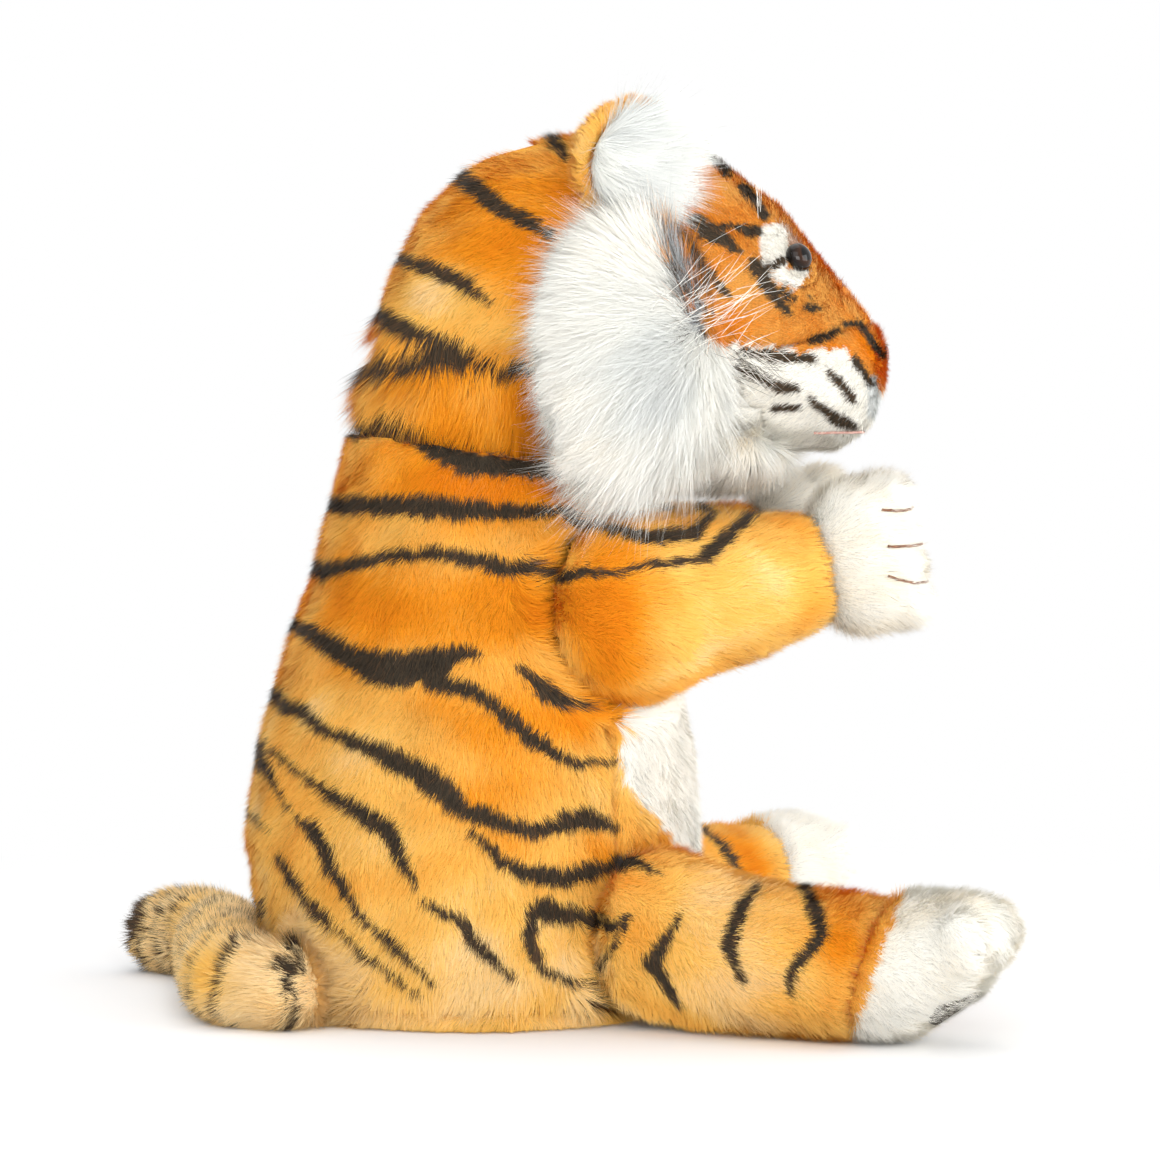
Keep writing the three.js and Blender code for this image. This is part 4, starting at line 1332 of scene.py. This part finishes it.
@dataclass
class RuffPlush(Plush):
    """A long white ruff that sprays from the mouth corner."""

    focus: Place = (67.5 * MM, -45 * MM, 22.6 * MM)
    near: float = 8 * MM
    far: float = 46 * MM
    near_share: float = 0.55
    far_share: float = 0.5
    face_length: float = 4 * MM
    grey_share: float = 0.4
    grey_edge: float = 0.8
    falls: tuple[float, float] = (0.55, 0.95)
    set_back: Place = (-0.35, 0, -0.25)
    white_tone: float = 0.425
    clouding: float = 0.012
    hollow_at: tuple[float, float] = (54, 187)
    hollow_half: tuple[float, float] = (12, 16)
    hollow_painted_shade: float = 0.06
    dark_hair: float = 0.6
    grey_tone: float = 0.54

    def spray(self, points: Array) -> Array:
        """How each point lies from the focus, on its own side of the head."""
        at = in_head(points)
        side = np.where(at[:, 1] > 0, -1.0, 1.0)
        focus = np.array(self.focus)[None] * np.stack((np.ones(len(at)), side, np.ones(len(at))), axis=1)
        return at - focus

    def on_face(self, points: Array) -> Array:
        """How far in front of the ruff's edge each point is, in millimetres on the side view."""
        spots = face_spots(points)
        return spots[:, 0] - along_edge(spots[:, 1], RUFF_EDGE)

    def length(self, points: Array) -> Array:
        """Longest half way out, and short where the face begins."""
        gap = np.linalg.norm(self.spray(points), axis=1)
        share = self.near_share + (1 - self.near_share) * smooth_step(gap, 0, self.near * 2)
        level = 1 - smooth_step(-unit(self.spray(points))[:, 2], *self.falls)
        share = share * (1 - (1 - self.far_share) * level * smooth_step(gap, self.far * 0.5, self.far))
        long = self.pile.length * share
        face = smooth_step(self.on_face(points), -1, 3) * np.where(self.greyed(points), self.grey_share, 1.0)
        return long + (self.face_length - long) * face

    def greyed(self, points: Array) -> Array:
        """Which points have grey and dark hair."""
        return CHEEK_GREYS.depth(face_spots(points)) + RAGGED.value(points) * 2 > self.grey_edge

    def lie(self, points: Array, normals: Array) -> Array:
        """Away from the focus, falling a little."""
        away = unit(self.spray(points)) + np.array(self.set_back)
        return from_head(away) - NECK

    def tone(self, points: Array) -> Array:
        """White with painted shade greying the hollow in its middle, grey along the edge of the face, and the
        face's own coat in front of it.
        """
        spots = face_spots(points)
        wander = RAGGED.value(points)
        white = self.white_tone + PATCHES.value(points) * self.clouding
        # painted shade: the white is greyed in the hollow of the ruff's fold
        white = white + Shade(self.hollow_at, self.hollow_half, self.hollow_painted_shade).share(spots)
        mixed = np.where(np.abs(wander) > self.dark_hair, Tone.DARK.value, self.grey_tone)
        coat = np.where(self.on_face(points) > wander, face_tone(points), white)
        return np.where(self.greyed(points), mixed, coat)


@dataclass
class ThroatPlush(Plush):
    """The white bib under the chin, brushed down and back."""

    brushed: Place = (-0.5, 0.0, -1.0)
    clouding: float = 0.02

    def tone(self, points: Array) -> Array:
        """White."""
        return Tone.WHITE.value + PATCHES.value(points) * self.clouding


@dataclass
class EarPlush(Plush):
    """The back of an ear, orange, or its front with long white hair."""

    front: bool = False
    side: float = -1.0
    looks: tuple[float, float] = (0.6, 0.8)
    turned_away: float = 0.2
    front_spread: float = 0.35
    clouding: float = 0.012
    paler: float = 0.05
    palest: float = 0.22

    def bare(self, points: Array, normals: Array) -> Array:
        """The side of the front that lies on the back."""
        ahead, aside = self.looks
        facing = from_head(np.array(((ahead, aside * self.side, 0.0),)))[0] - NECK
        return (normals @ facing < -self.turned_away) & self.front

    def lie(self, points: Array, normals: Array) -> Array:
        """Up and out on the back, and forward over the brow on the front."""
        away = unit(points - points.mean(0))
        way = (1.0, -0.3 * self.side, 0.0) if self.front else (-0.25, 0.2 * self.side, 0.3)
        return away * (self.front_spread if self.front else 1.0) + from_head(np.array((way,))) - NECK

    def tone(self, points: Array) -> Array:
        """White in front, orange behind."""
        if self.front:
            return Tone.COOL.value + PATCHES.value(points) * self.clouding
        return np.clip(orange(points) + self.paler, Tone.ORANGE.value, self.palest)


@dataclass
class Head:
    """Head, muzzle, chin, ruffs, throat, eye felts and ears."""

    nape_length: float = 4.5 * MM

    def pieces(self) -> list[Plush]:
        """The plush pieces of the head."""
        coat = Pile(self.nape_length, 5.5, width=0.27 * MM, clump=0.22)
        short = Pile(3.0 * MM, 8.0, width=0.26 * MM, muss=0.1, clump=0.2, clump_span=1.6 * MM)
        felt = Pile(1.8 * MM, 8.0, width=0.24 * MM, muss=0.1, clump=0.1, sink=0.3 * MM)
        long = Pile(13 * MM, 14.0, width=0.16 * MM, lean_root=48, lean_tip=84, stray=0.2, muss=0.16,
                    muss_span=20 * MM, clump=0.1, clump_span=3 * MM, uneven=0.3, guard=0.12, guard_long=1.8)
        bib = Pile(10 * MM, 10.0, width=0.17 * MM, muss=0.2, clump=0.1)
        rim = Pile(4.2 * MM, 9.0, width=0.22 * MM)
        inner = Pile(13.5 * MM, 14.0, width=0.15 * MM, lean_root=26, lean_tip=74, stray=0.14, clump=0.1,
                     uneven=0.3)
        neck = Seam(tuple(NECK), 33 * MM, (-0.25, 0.0, -1.0), span=8 * MM, longer=6.5 * MM, lift=-4)
        made: list[Plush] = [
            HeadPlush("head", ("head_skin", "head_stuffing"), "head", "orange_plush", coat, 21,
                      voxel=1.8 * MM, fill=0.7, seams=(neck,)),
            HeadPlush("muzzle", ("muzzle_panel", "chin_panel"), "head", "white_plush", short, 22,
                      voxel=1.4 * MM, rounds=6, fill=0.6),
            ThroatPlush("throat", ("throat_ruff",), "head", "white_plush", bib, 24, fill=0.5),
        ]
        for k, (side, sign) in enumerate(SIDES):
            made += [
                RuffPlush(side + "_cheek", (side + "_cheek_ruff",), "head", "white_plush", long, 31 + k,
                          fill=0.5),
                HeadPlush(side + "_eye_felt", (side + "_eye_patch",), "head", "white_plush", felt, 37 + k,
                          voxel=0.7 * MM, rounds=2, cut=Cut(0.019, 0.019, 0.00029, ("head",))),
                EarPlush(side + "_ear", (side + "_ear_back",), "head", "orange_plush", rim, 33 + k,
                         voxel=1.4 * MM, fill=0.3, side=sign),
                EarPlush(side + "_ear_inside", (side + "_ear_front",), "head", "white_plush", inner, 35 + k,
                         voxel=1.2 * MM, fill=0.3, front=True, side=sign),
            ]
        return made


# Limbs and tail


@dataclass
class LimbPlush(Plush):
    """An arm, leg or paw, brushed along the limb."""

    along: Place = (1.0, 0.0, 0.0)
    pale: bool = False
    fall: float = 0.25
    white_tone: float = 0.385
    clouding: float = 0.008
    paler: float = 0.02

    def lie(self, points: Array, normals: Array) -> Array:
        """Along the limb, falling a little."""
        return np.tile(np.array(self.along) - UP * self.fall, (len(points), 1))

    def tone(self, points: Array) -> Array:
        """White on a paw, otherwise orange with stripes."""
        if self.pale:
            return self.white_tone + PATCHES.value(points) * self.clouding
        return striped(points, np.clip(orange(points) + self.paler, Tone.RUST.value, COAT_PALEST))


@dataclass
class FootPlush(LimbPlush):
    """A hind foot: orange at the ankle, then white."""

    ankle: Edge = ((-10, 114.6), (36, 131.1))
    ankle_rough: float = 0.5

    def tone(self, points: Array) -> Array:
        """White in front of the ankle line."""
        spots = side_spots(points)
        line = along_edge(spots[:, 1], self.ankle)
        ankle = spots[:, 0] < line + RAGGED.value(points) * self.ankle_rough
        white = Tone.WHITE.value + PATCHES.value(points) * self.clouding
        return np.where(ankle, striped(points, orange(points)), white)


@dataclass
class Limb:
    """One arm and one leg of a side."""

    side: str
    sign: float
    arm_long: float = 90 * MM

    def pieces(self) -> list[Plush]:
        """The plush pieces of the arm and the leg."""
        start = np.array(on_side(SHOULDER, self.sign))
        core = np.array((start, start + np.array(ARM_WAY) * self.arm_long))
        leg = (LEG_WAY[0], self.sign * LEG_WAY[1], LEG_WAY[2])
        hip = on_side(HIP, self.sign)
        arm_pile = Pile(4.4 * MM, 6.6, width=0.26 * MM, clump=0.22)
        paw_pile = Pile(5.0 * MM, 8.5, width=0.21 * MM, lean_root=30, lean_tip=66, muss=0.15, clump=0.14)
        foot_pile = Pile(4.2 * MM, 8.5, width=0.23 * MM, muss=0.15, clump=0.14)
        seed = 41 if self.sign < 0 else 51
        arm, thigh, s = self.side + "_arm", self.side + "_leg", self.side + "_"
        side = (0.0, self.sign, 0.1)
        armhole = Seam(tuple(start), 10 * MM, (0.6, 0.0, -0.8), span=24 * MM, longer=0.0, lift=4, facing=side)
        groin = Seam(hip, 10 * MM, (0.5, 0.0, -0.8), span=24 * MM, longer=0.0, lift=4, facing=side)
        return [
            LimbPlush(arm, (s + "arm_sleeve",), arm, "orange_plush", arm_pile, seed, hollow=core,
                      along=ARM_WAY, seams=(armhole,),
                      cut=Cut(0.165, 0.075, 0.009, (s + "finger_sleeve",))),
            LimbPlush(s + "paw", (s + "front_paw", s + "front_paw_stuffing"), arm, "white_plush", paw_pile,
                      seed + 1, fill=0.6, along=ARM_WAY, pale=True),
            LimbPlush(thigh, (s + "leg_skin", s + "leg_stuffing"), thigh, "orange_plush", arm_pile, seed + 2,
                      fill=0.7, along=leg, seams=(groin,)),
            FootPlush(s + "foot", (s + "hind_paw",), thigh, "white_plush", foot_pile, seed + 3, fill=0.7,
                      along=leg),
        ]


TAIL_ROUTE = ((-46, -23), (-57, -35), (-69, -35), (-76, -21), (-76, 4), (-74, 33), (-73, 58), (-80, 79),
              (-95, 89))


def rounded(route: Array, rounds: int) -> Array:
    """A line with its corners cut off, several times over."""
    for _ in range(rounds):
        near, far = route[:-1] * 0.75 + route[1:] * 0.25, route[:-1] * 0.25 + route[1:] * 0.75
        middle = np.stack((near, far), axis=1).reshape(-1, 2)
        route = np.concatenate((route[:1], middle[1:-1], route[-1:]))
    return route


@dataclass
class TailPlush(Plush):
    """The tail, ringed."""

    ring_pitch: float = 10.5 * MM
    ring_share: float = 0.26
    ring_wander: float = 0.06
    plain: float = 20 * MM
    dark_end: float = 7 * MM
    end_wander: float = 20 * MM
    end_tone: float = 0.80
    paler: float = 0.055
    palest: float = 0.26
    rough: float = 0.03
    patchy: float = 0.09

    def place(self, points: Array) -> tuple[Array, Array]:
        """How far along the tail each point lies, and the tail's way there."""
        route = rounded(np.array(TAIL_ROUTE) * MM + np.array((GLOVE_X, 0)), 3)
        best, far, way = np.full(len(points), FAR_OFF), np.zeros(len(points)), np.zeros((len(points), 3))
        start = 0.0
        for a, b in zip(route, route[1:]):
            run = b - a
            long = float(np.hypot(*run))
            share = np.clip((points[:, :2] - a) @ run / long**2, 0, 1)
            gap = np.linalg.norm(points[:, :2] - a - share[:, None] * run, axis=1)
            near = gap < best
            best, far = np.where(near, gap, best), np.where(near, start + share * long, far)
            way[near] = (*(run / long), 0.0)
            start += long
        return start - far, way

    def lie(self, points: Array, normals: Array) -> Array:
        """Towards the tip."""
        return self.place(points)[1]

    @staticmethod
    def start() -> Array:
        """The middle of the tail's root."""
        return np.array((on_side(TAIL_ROOT, 1.0),))

    def tone(self, points: Array) -> Array:
        """Gold with dark rings, and a dark end."""
        left, _ = self.place(points)
        wander = RAGGED.value(points) * self.rough + PATCHES.value(points) * self.patchy
        share = self.ring_share + self.ring_wander * DEPTH.value(points)
        ring = ((left / self.ring_pitch + wander) % 1.0) < share
        ring &= self.place(self.start())[0] - left > self.plain
        gold = np.clip(orange(points) + self.paler, Tone.RUST.value, self.palest)
        coat = np.where(ring, Tone.DARK.value, gold)
        end = left < self.dark_end + wander * self.end_wander
        return np.where(end, self.end_tone, coat)


@dataclass
class Tail:
    """The stuffed tail and its dark tip."""

    pile_length: float = 5.5 * MM

    def pieces(self) -> list[Plush]:
        """The two plush pieces."""
        pile = Pile(self.pile_length, 7.0, width=0.25 * MM, lean_tip=70, clump=0.2)
        return [
            TailPlush("tail", ("tail_skin", "tail_stuffing"), "tail", "orange_plush", pile, 61, fill=0.7,
                      shown=0.7),
            TailPlush("tail_end", ("tail_tip",), "tail", "dark_plush", pile, 62, fill=0.7, shown=0.7),
        ]


# Face details and linings


SOFT_EASE = 0.3


def softened(name: str, nodes: tuple[str, ...], cuts: int, rounds: int) -> bpy.types.Object:
    """A merged copy of solids, cut finer and eased.

    Args:
        name: The piece's name.
        nodes: The solids.
        cuts: Cuts of every edge.
        rounds: How many times it is eased.

    Returns:
        The piece.
    """
    bm = merged_copy(nodes)
    bmesh.ops.subdivide_edges(bm, edges=bm.edges, cuts=cuts, use_grid_fill=True)
    piece = add_piece(name, as_mesh(bm, name))
    smooth(piece, rounds, SOFT_EASE)
    return piece


@dataclass
class Lining:
    """The cloth inside the glove, head and arms."""

    cuts: int = 1
    rounds: int = 2

    def build(self, wardrobe: Wardrobe) -> None:
        """Makes each lining piece from its solid."""
        rows = [("lining", "glove_lining", "torso", Cut(0.36, 0.16, 0.045, ("right_side", "left_side"))),
                ("neck_sleeve", "neck_band", "neck", Cut(0.195, 0.012, 0.00196, ("lining",))),
                ("head_pocket", "finger_pocket", "head", Cut(0.125, 0.075, 0.0077, ("head",)))]
        for side, _ in SIDES:
            rows += [(side + "_armhole", side + "_armhole_band", side + "_armhole",
                      Cut(0.14, 0.01, 0.00097, ("lining",))),
                     (side + "_arm_lining", side + "_finger_sleeve", side + "_arm",
                      Cut(0.105, 0.04, 0.0032, (side + "_arm",)))]
        for name, node, body, cut in rows:
            piece = softened(name, (node,), self.cuts, self.rounds)
            fit(piece, body, wardrobe.lining, (node,))
            cut.declare(piece)
            LOG.info("%s: %d faces of lining", name, len(piece.data.polygons))


@dataclass
class Face:
    """Eyes, washers, nose and sole pads."""

    eye_yaw: float = 40.0
    eye_pitch: float = 22.0
    eye_radius: float = 4.3 * MM
    eye_dome: float = 3.4 * MM

    def build(self, wardrobe: Wardrobe) -> None:
        """Makes the small pieces."""
        for side, sign in SIDES:
            self.eye(side, sign, wardrobe)
            self.plain(side + "_washer", (side + "_eye_washer",), "head", "washer_plastic", wardrobe.washer)
            sole = self.plain(side + "_sole", (side + "_sole_pad",), side + "_leg", "dark_plush",
                              wardrobe.backing)
            Cut(0.024, 0.019, 0.00034, (side + "_foot",)).declare(sole)
        nose = covered("nose_button", ("nose",), 1.0 * MM, 3)
        fit(nose, "head", wardrobe.nose, ("nose",))
        LOG.info("nose_button: %d faces", len(nose.data.polygons))

    def plain(self, name: str, nodes: tuple[str, ...], body: str, slot: str,
              finish: bpy.types.Material) -> bpy.types.Object:
        """A softened copy of a small solid in one finish."""
        piece = softened(name, nodes, 2, 2)
        tone = Tone.DARK.value if slot == "dark_plush" else Tone.WHITE.value
        colours = np.tile((*dyed(np.array([tone]))[0], 1.0), len(piece.data.vertices))
        layer = piece.data.attributes.new(COAT_DYE, "FLOAT_COLOR", "POINT")
        layer.data.foreach_set("color", colours.astype(np.float32))
        fit(piece, body, finish, nodes)
        LOG.info("%s: %d faces", name, len(piece.data.polygons))
        return piece

    def eye(self, side: str, sign: float, wardrobe: Wardrobe) -> None:
        """A domed eye where its solid sits."""
        yaw, pitch = math.radians(self.eye_yaw), math.radians(self.eye_pitch)
        ahead, aside = math.cos(pitch) * math.cos(yaw), sign * math.cos(pitch) * math.sin(yaw)
        look = turned((ahead, aside, math.sin(pitch)), HEAD_TURN)
        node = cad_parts[side + "_eye"].data
        places = np.array([v.co for v in node.vertices])
        front = places[np.argmax(places @ look)]
        seat = Vector(front) - Vector(look) * self.eye_dome
        bm = bmesh.new()
        bmesh.ops.create_uvsphere(bm, u_segments=40, v_segments=24, radius=self.eye_radius)
        bmesh.ops.scale(bm, vec=(1, 1, self.eye_dome / self.eye_radius), verts=bm.verts)
        aim = Vector(look).to_track_quat("Z", "Y").to_matrix().to_4x4()
        out = [min(1.0, math.hypot(v.co.x, v.co.y) / self.eye_radius) for v in bm.verts]
        bmesh.ops.transform(bm, matrix=Matrix.Translation(seat) @ aim, verts=bm.verts)
        for face in bm.faces:
            face.smooth = True
        mesh = as_mesh(bm, side + "_eye_dome")
        layer = mesh.attributes.new("eye_out", "FLOAT", "POINT")
        layer.data.foreach_set("value", out)
        piece = add_piece(side + "_eye_dome", mesh)
        fit(piece, "head", wardrobe.eye, (side + "_eye",))
        LOG.info("%s: %d faces", piece.name, len(mesh.polygons))


def sewn_thread(name: str, points: list[Array], radius: float) -> bpy.types.Object:
    """A round thread laid along points.

    Args:
        name: The piece's name.
        points: Where the thread runs.
        radius: Half its thickness.

    Returns:
        The thread as a mesh.
    """
    curve = bpy.data.curves.new(name, "CURVE")
    curve.dimensions = "3D"
    curve.bevel_depth = radius
    curve.bevel_resolution = 2
    curve.use_fill_caps = True
    line = curve.splines.new("POLY")
    line.points.add(len(points) - 1)
    for knot, place in zip(line.points, points):
        knot.co = (*place, 1)
    drawn = add_piece(name + "_line", curve)
    mesh = bpy.data.meshes.new_from_object(drawn.evaluated_get(bpy.context.evaluated_depsgraph_get()))
    bpy.data.objects.remove(drawn)
    bpy.data.curves.remove(curve)
    mesh.name = name
    mesh.polygons.foreach_set("use_smooth", np.ones(len(mesh.polygons), bool))
    return add_piece(name, mesh)


@dataclass
class Needlework:
    """Sewn lines: between the toes of the front paws, and the mouth."""

    paw_at: float = 70 * MM
    toe_rows: tuple[tuple[float, float], ...] = ((150.2 * MM, 0.05), (139.4 * MM, 0.0), (127.8 * MM, -0.25))
    toe_turn: float = 74.0
    toe_past: float = 12.0
    paw_half: float = 20 * MM
    toe_proud: float = 2.3 * MM
    toe_thread: float = 0.42 * MM
    mouth_at: float = 96 * MM
    mouth_up: float = -9 * MM
    mouth_turn: float = 72.0
    mouth_proud: float = 0.7 * MM
    mouth_thread: float = 0.4 * MM
    steps: int = 18
    reach: float = 70 * MM

    def around(self, face: Surface, middle: Array, ahead: Array, aside: Array, turns: tuple[float, float],
               proud: float, slope: float = 0.0) -> list[Array]:
        """Places on a face round its front.

        Args:
            face: The face.
            middle: The middle that the line goes round.
            ahead: The way to the front.
            aside: The way to the side.
            turns: How far round it goes each way, in degrees.
            proud: How far off the face it stands.
            slope: How much the line rises towards the front.

        Returns:
            The places, from one end to the other.
        """
        found = []
        for angle in np.radians(np.linspace(*turns, self.steps)):
            way = ahead * math.cos(angle) + aside * math.sin(angle)
            fall = UP * slope * self.paw_half * (1 - math.cos(angle))
            found.append(face.hit(middle - fall + way * self.reach, -way, proud))
        return [place for place in found if place is not None]

    def build(self, wardrobe: Wardrobe, mouth: Surface, paws: dict[str, Surface]) -> None:
        """Sews the lines.

        Args:
            wardrobe: The finishes.
            mouth: The faces of the muzzle and chin.
            paws: The faces of the front paws, by side.
        """
        ahead, aside = np.array((1.0, 0.0, 0.0)), np.array((0.0, 1.0, 0.0))
        for side, sign in SIDES:
            middle = np.array(on_side(SHOULDER, sign)) + np.array(ARM_WAY) * self.paw_at
            for k, (height, slope) in enumerate(self.toe_rows):
                middle[2] = height
                turns = (sign * self.toe_turn, -sign * self.toe_past)
                points = self.around(paws[side], middle, ahead, aside, turns, self.toe_proud, slope)
                piece = sewn_thread(f"{side}_toe_line_{k + 1}", points, self.toe_thread)
                fit(piece, side + "_arm", wardrobe.thread)
                LOG.info("%s: %d faces", piece.name, len(piece.data.polygons))
        ahead, aside = turned((1, 0, 0), HEAD_TURN), turned((0, 1, 0), HEAD_TURN)
        middle = from_head(np.array((self.mouth_at, 0, self.mouth_up)))
        turns = (-self.mouth_turn, self.mouth_turn)
        points = self.around(mouth, middle, ahead, aside, turns, self.mouth_proud)
        piece = sewn_thread("mouth_line", points, self.mouth_thread)
        fit(piece, "head", wardrobe.lip)
        LOG.info("%s: %d faces", piece.name, len(piece.data.polygons))


@dataclass(frozen=True)
class Tuft:
    """A few long single hairs: from where on the side of the head, which way, how long, how many."""

    name: str
    at: tuple[float, float]
    spread: float
    way: Place
    fan: float
    length: float
    count: int
    tones: tuple[Tone, ...]


@dataclass
class Whiskers:
    """Loose hairs of the brow, cheeks and muzzle."""

    tufts: tuple[Tuft, ...] = (
        Tuft("brow", (84, 55), 1.5, (-0.1, -0.35, 1.0), 0.12, 16 * MM, 5, (Tone.WHITE,)),
        Tuft("cheek", (66, 26), 6.5, (1.0, -0.5, 0.65), 0.25, 22 * MM, 60, (Tone.WHITE, Tone.COOL)),
        Tuft("cheek_dark", (79, 13), 3.5, (1.0, -0.5, -0.5), 0.22, 13 * MM, 110, (Tone.DARK, Tone.WHITE)),
        Tuft("muzzle", (106, 3), 6.0, (-0.25, -1.0, -0.1), 0.25, 15 * MM, 9, (Tone.WHITE,)),
    )
    pile: Pile = Pile(1.0, 0.0, width=0.15 * MM, lean_root=30, lean_tip=62, stray=0.05, muss=0.05, clump=0.0,
                      uneven=0.25, bends=4)
    reach: float = 150 * MM
    seed: int = 81

    def build(self, wardrobe: Wardrobe, face: Surface) -> None:
        """Sets the hairs in on both sides.

        Args:
            wardrobe: The finishes.
            face: The faces of the head that they grow from.
        """
        for k, tuft in enumerate(self.tufts):
            for side, sign in SIDES:
                rng = np.random.default_rng(self.seed + k)
                inward = turned((0, -sign, 0), HEAD_TURN)
                roots, ways = [], []
                for _ in range(tuft.count):
                    ahead, up = np.array(tuft.at) * MM + rng.normal(size=2) * tuft.spread * MM
                    start = from_head(np.array((ahead, sign * self.reach, up)))
                    spot = face.hit(start, inward, 0.0)
                    if spot is not None:
                        roots.append(spot)
                        way = np.array(tuft.way) + rng.normal(size=3) * tuft.fan
                        ways.append(from_head(way * np.array((1, -sign, 1))) - NECK)
                tones = rng.choice([tone.value for tone in tuft.tones], len(roots))
                out = np.tile(-inward, (len(roots), 1))
                growth = Growth(np.array(roots), out, out, np.array(ways), np.zeros(len(roots)),
                                np.full(len(roots), tuft.length), tones)
                grown = hairs(f"{side}_{tuft.name}_hairs", growth, self.pile, self.seed + 10 * k)
                fit(grown, "head", wardrobe.pile)
                LOG.info("%s: %d hairs", grown.name, len(roots))


# Studio


@dataclass(frozen=True)
class Lamp:
    """A square soft light: where it stands, its width and its power."""

    name: str
    place: Place
    size: float
    power: float


@dataclass
class Studio:
    """Pale floor, soft lights and the camera."""

    aim: Place = (GLOVE_X + 29.574 * MM, -5.2 * MM, 128 * MM)
    azimuth: float = -10.0
    eye_height: float = 0.2
    distance: float = 1.3
    lens: float = 134.5
    sensor: float = 36
    floor_half: float = 3.0
    floor_grey: float = 0.9
    fade_from: float = 0.16
    fade_full: float = 0.42
    world_light: float = 0.78
    lamps: tuple[Lamp, ...] = (
        Lamp("key", (-0.4, -1.5, 1.1), 1.4, 11),
        Lamp("front", (1.5, -0.8, 0.3), 1.2, 18),
        Lamp("low", (0.1, -1.7, 0.2), 1.0, 20),
        Lamp("top", (-0.1, 0.4, 1.6), 1.4, 7),
    )

    def build(self) -> None:
        """Sets up the stage."""
        self.camera()
        self.floor()
        self.lights()
        self.world()
        bpy.context.scene.view_settings.view_transform = "Standard"

    def camera(self) -> None:
        """The camera at the photograph's angle."""
        data = bpy.data.cameras.new("camera")
        data.lens = self.lens
        data.sensor_width = self.sensor
        rise = self.eye_height - self.aim[2]
        flat = math.sqrt(self.distance**2 - rise**2)
        turn = math.radians(self.azimuth)
        place = Vector(self.aim) + Vector((math.sin(turn) * flat, -math.cos(turn) * flat, rise))
        bpy.context.scene.camera = self.aimed("camera", data, place)

    def aimed(self, name: str, data: bpy.types.ID, place: Vector) -> bpy.types.Object:
        """A camera or lamp at a place, looking at the tiger."""
        looker = add_piece(name, data)
        looker.location = place
        looker.rotation_euler = (Vector(self.aim) - looker.location).to_track_quat("-Z", "Y").to_euler()
        return looker

    def floor(self) -> None:
        """A pale floor that fades to white away from the tiger."""
        bm = bmesh.new()
        bmesh.ops.create_grid(bm, x_segments=2, y_segments=2, size=self.floor_half)
        mesh = as_mesh(bm, "floor")
        floor = add_piece("floor", mesh)
        material = bpy.data.materials.new("floor_paper")
        material.use_nodes = True
        nodes = Nodes(material.node_tree)
        shader = material.node_tree.nodes["Principled BSDF"]
        shader.inputs["Base Color"].default_value = (self.floor_grey, self.floor_grey, self.floor_grey, 1)
        shader.inputs["Roughness"].default_value = 0.9
        shader.inputs["Specular IOR Level"].default_value = 0.0
        white = nodes.add("Emission")
        place = nodes.add("TexCoord").outputs["Object"]
        far = nodes.add("VectorMath", operation="LENGTH")
        nodes.join(place, far.inputs[0])
        fade = nodes.add("MapRange", interpolation_type="SMOOTHSTEP")
        fade.inputs["From Min"].default_value = self.fade_from
        fade.inputs["From Max"].default_value = self.fade_full
        nodes.join(far.outputs["Value"], fade.inputs["Value"])
        share = nodes.add("Math", operation="MULTIPLY")
        nodes.join(fade.outputs["Result"], share.inputs[0])
        nodes.join(nodes.seen(), share.inputs[1])
        nodes.blend(share.outputs[0], shader, white, material.node_tree.nodes["Material Output"])
        mesh.materials.append(material)

    def lights(self) -> None:
        """One large key light and three fills."""
        for lamp in self.lamps:
            data = bpy.data.lights.new(lamp.name, "AREA")
            data.size = lamp.size
            data.energy = lamp.power
            self.aimed(lamp.name, data, Vector(lamp.place))

    def world(self) -> None:
        """Even light from all round, and white where the camera sees past the floor."""
        world = bpy.data.worlds.new("studio")
        world.use_nodes = True
        bpy.context.scene.world = world
        nodes = Nodes(world.node_tree)
        light = world.node_tree.nodes["Background"]
        light.inputs["Color"].default_value = (1, 1, 1, 1)
        light.inputs["Strength"].default_value = self.world_light
        white = nodes.add("Background")
        white.inputs["Color"].default_value = (1, 1, 1, 1)
        nodes.blend(nodes.seen(), light, white, world.node_tree.nodes["World Output"])


def main() -> None:
    """Builds the stage and every piece of the tiger."""
    logging.basicConfig(level=logging.INFO, format="%(message)s")
    Studio().build()
    wardrobe = Wardrobe()
    torso, head, tail = Torso().pieces(), Head().pieces(), Tail().pieces()
    limbs = {side: Limb(side, sign).pieces() for side, sign in SIDES}
    groups = [torso, head, tail, *limbs.values()]
    for group in groups:
        for piece in group:
            piece.sew()
            piece.settle()
    Lining().build(wardrobe)
    Face().build(wardrobe)
    skull = head[0].face
    soft = [piece.face for piece in head[1:]]
    limb_faces = [part.face for side in limbs.values() for part in side]
    for piece in torso:
        piece.brush(wardrobe, [*limb_faces, tail[0].face])
    for piece in head:
        piece.brush(wardrobe, soft if piece is head[0] else [skull])
    for piece in (*tail, *limbs["right"], *limbs["left"]):
        piece.brush(wardrobe, [])
    mouth = Surface([piece.backing for piece in head[:2]])
    Needlework().build(wardrobe, mouth, {side: parts[1].face for side, parts in limbs.items()})
    Whiskers().build(wardrobe, Surface([piece.backing for piece in head if not isinstance(piece, EarPlush)]))


if __name__ == "__main__":
    main()
    bpy.context.view_layer.update()
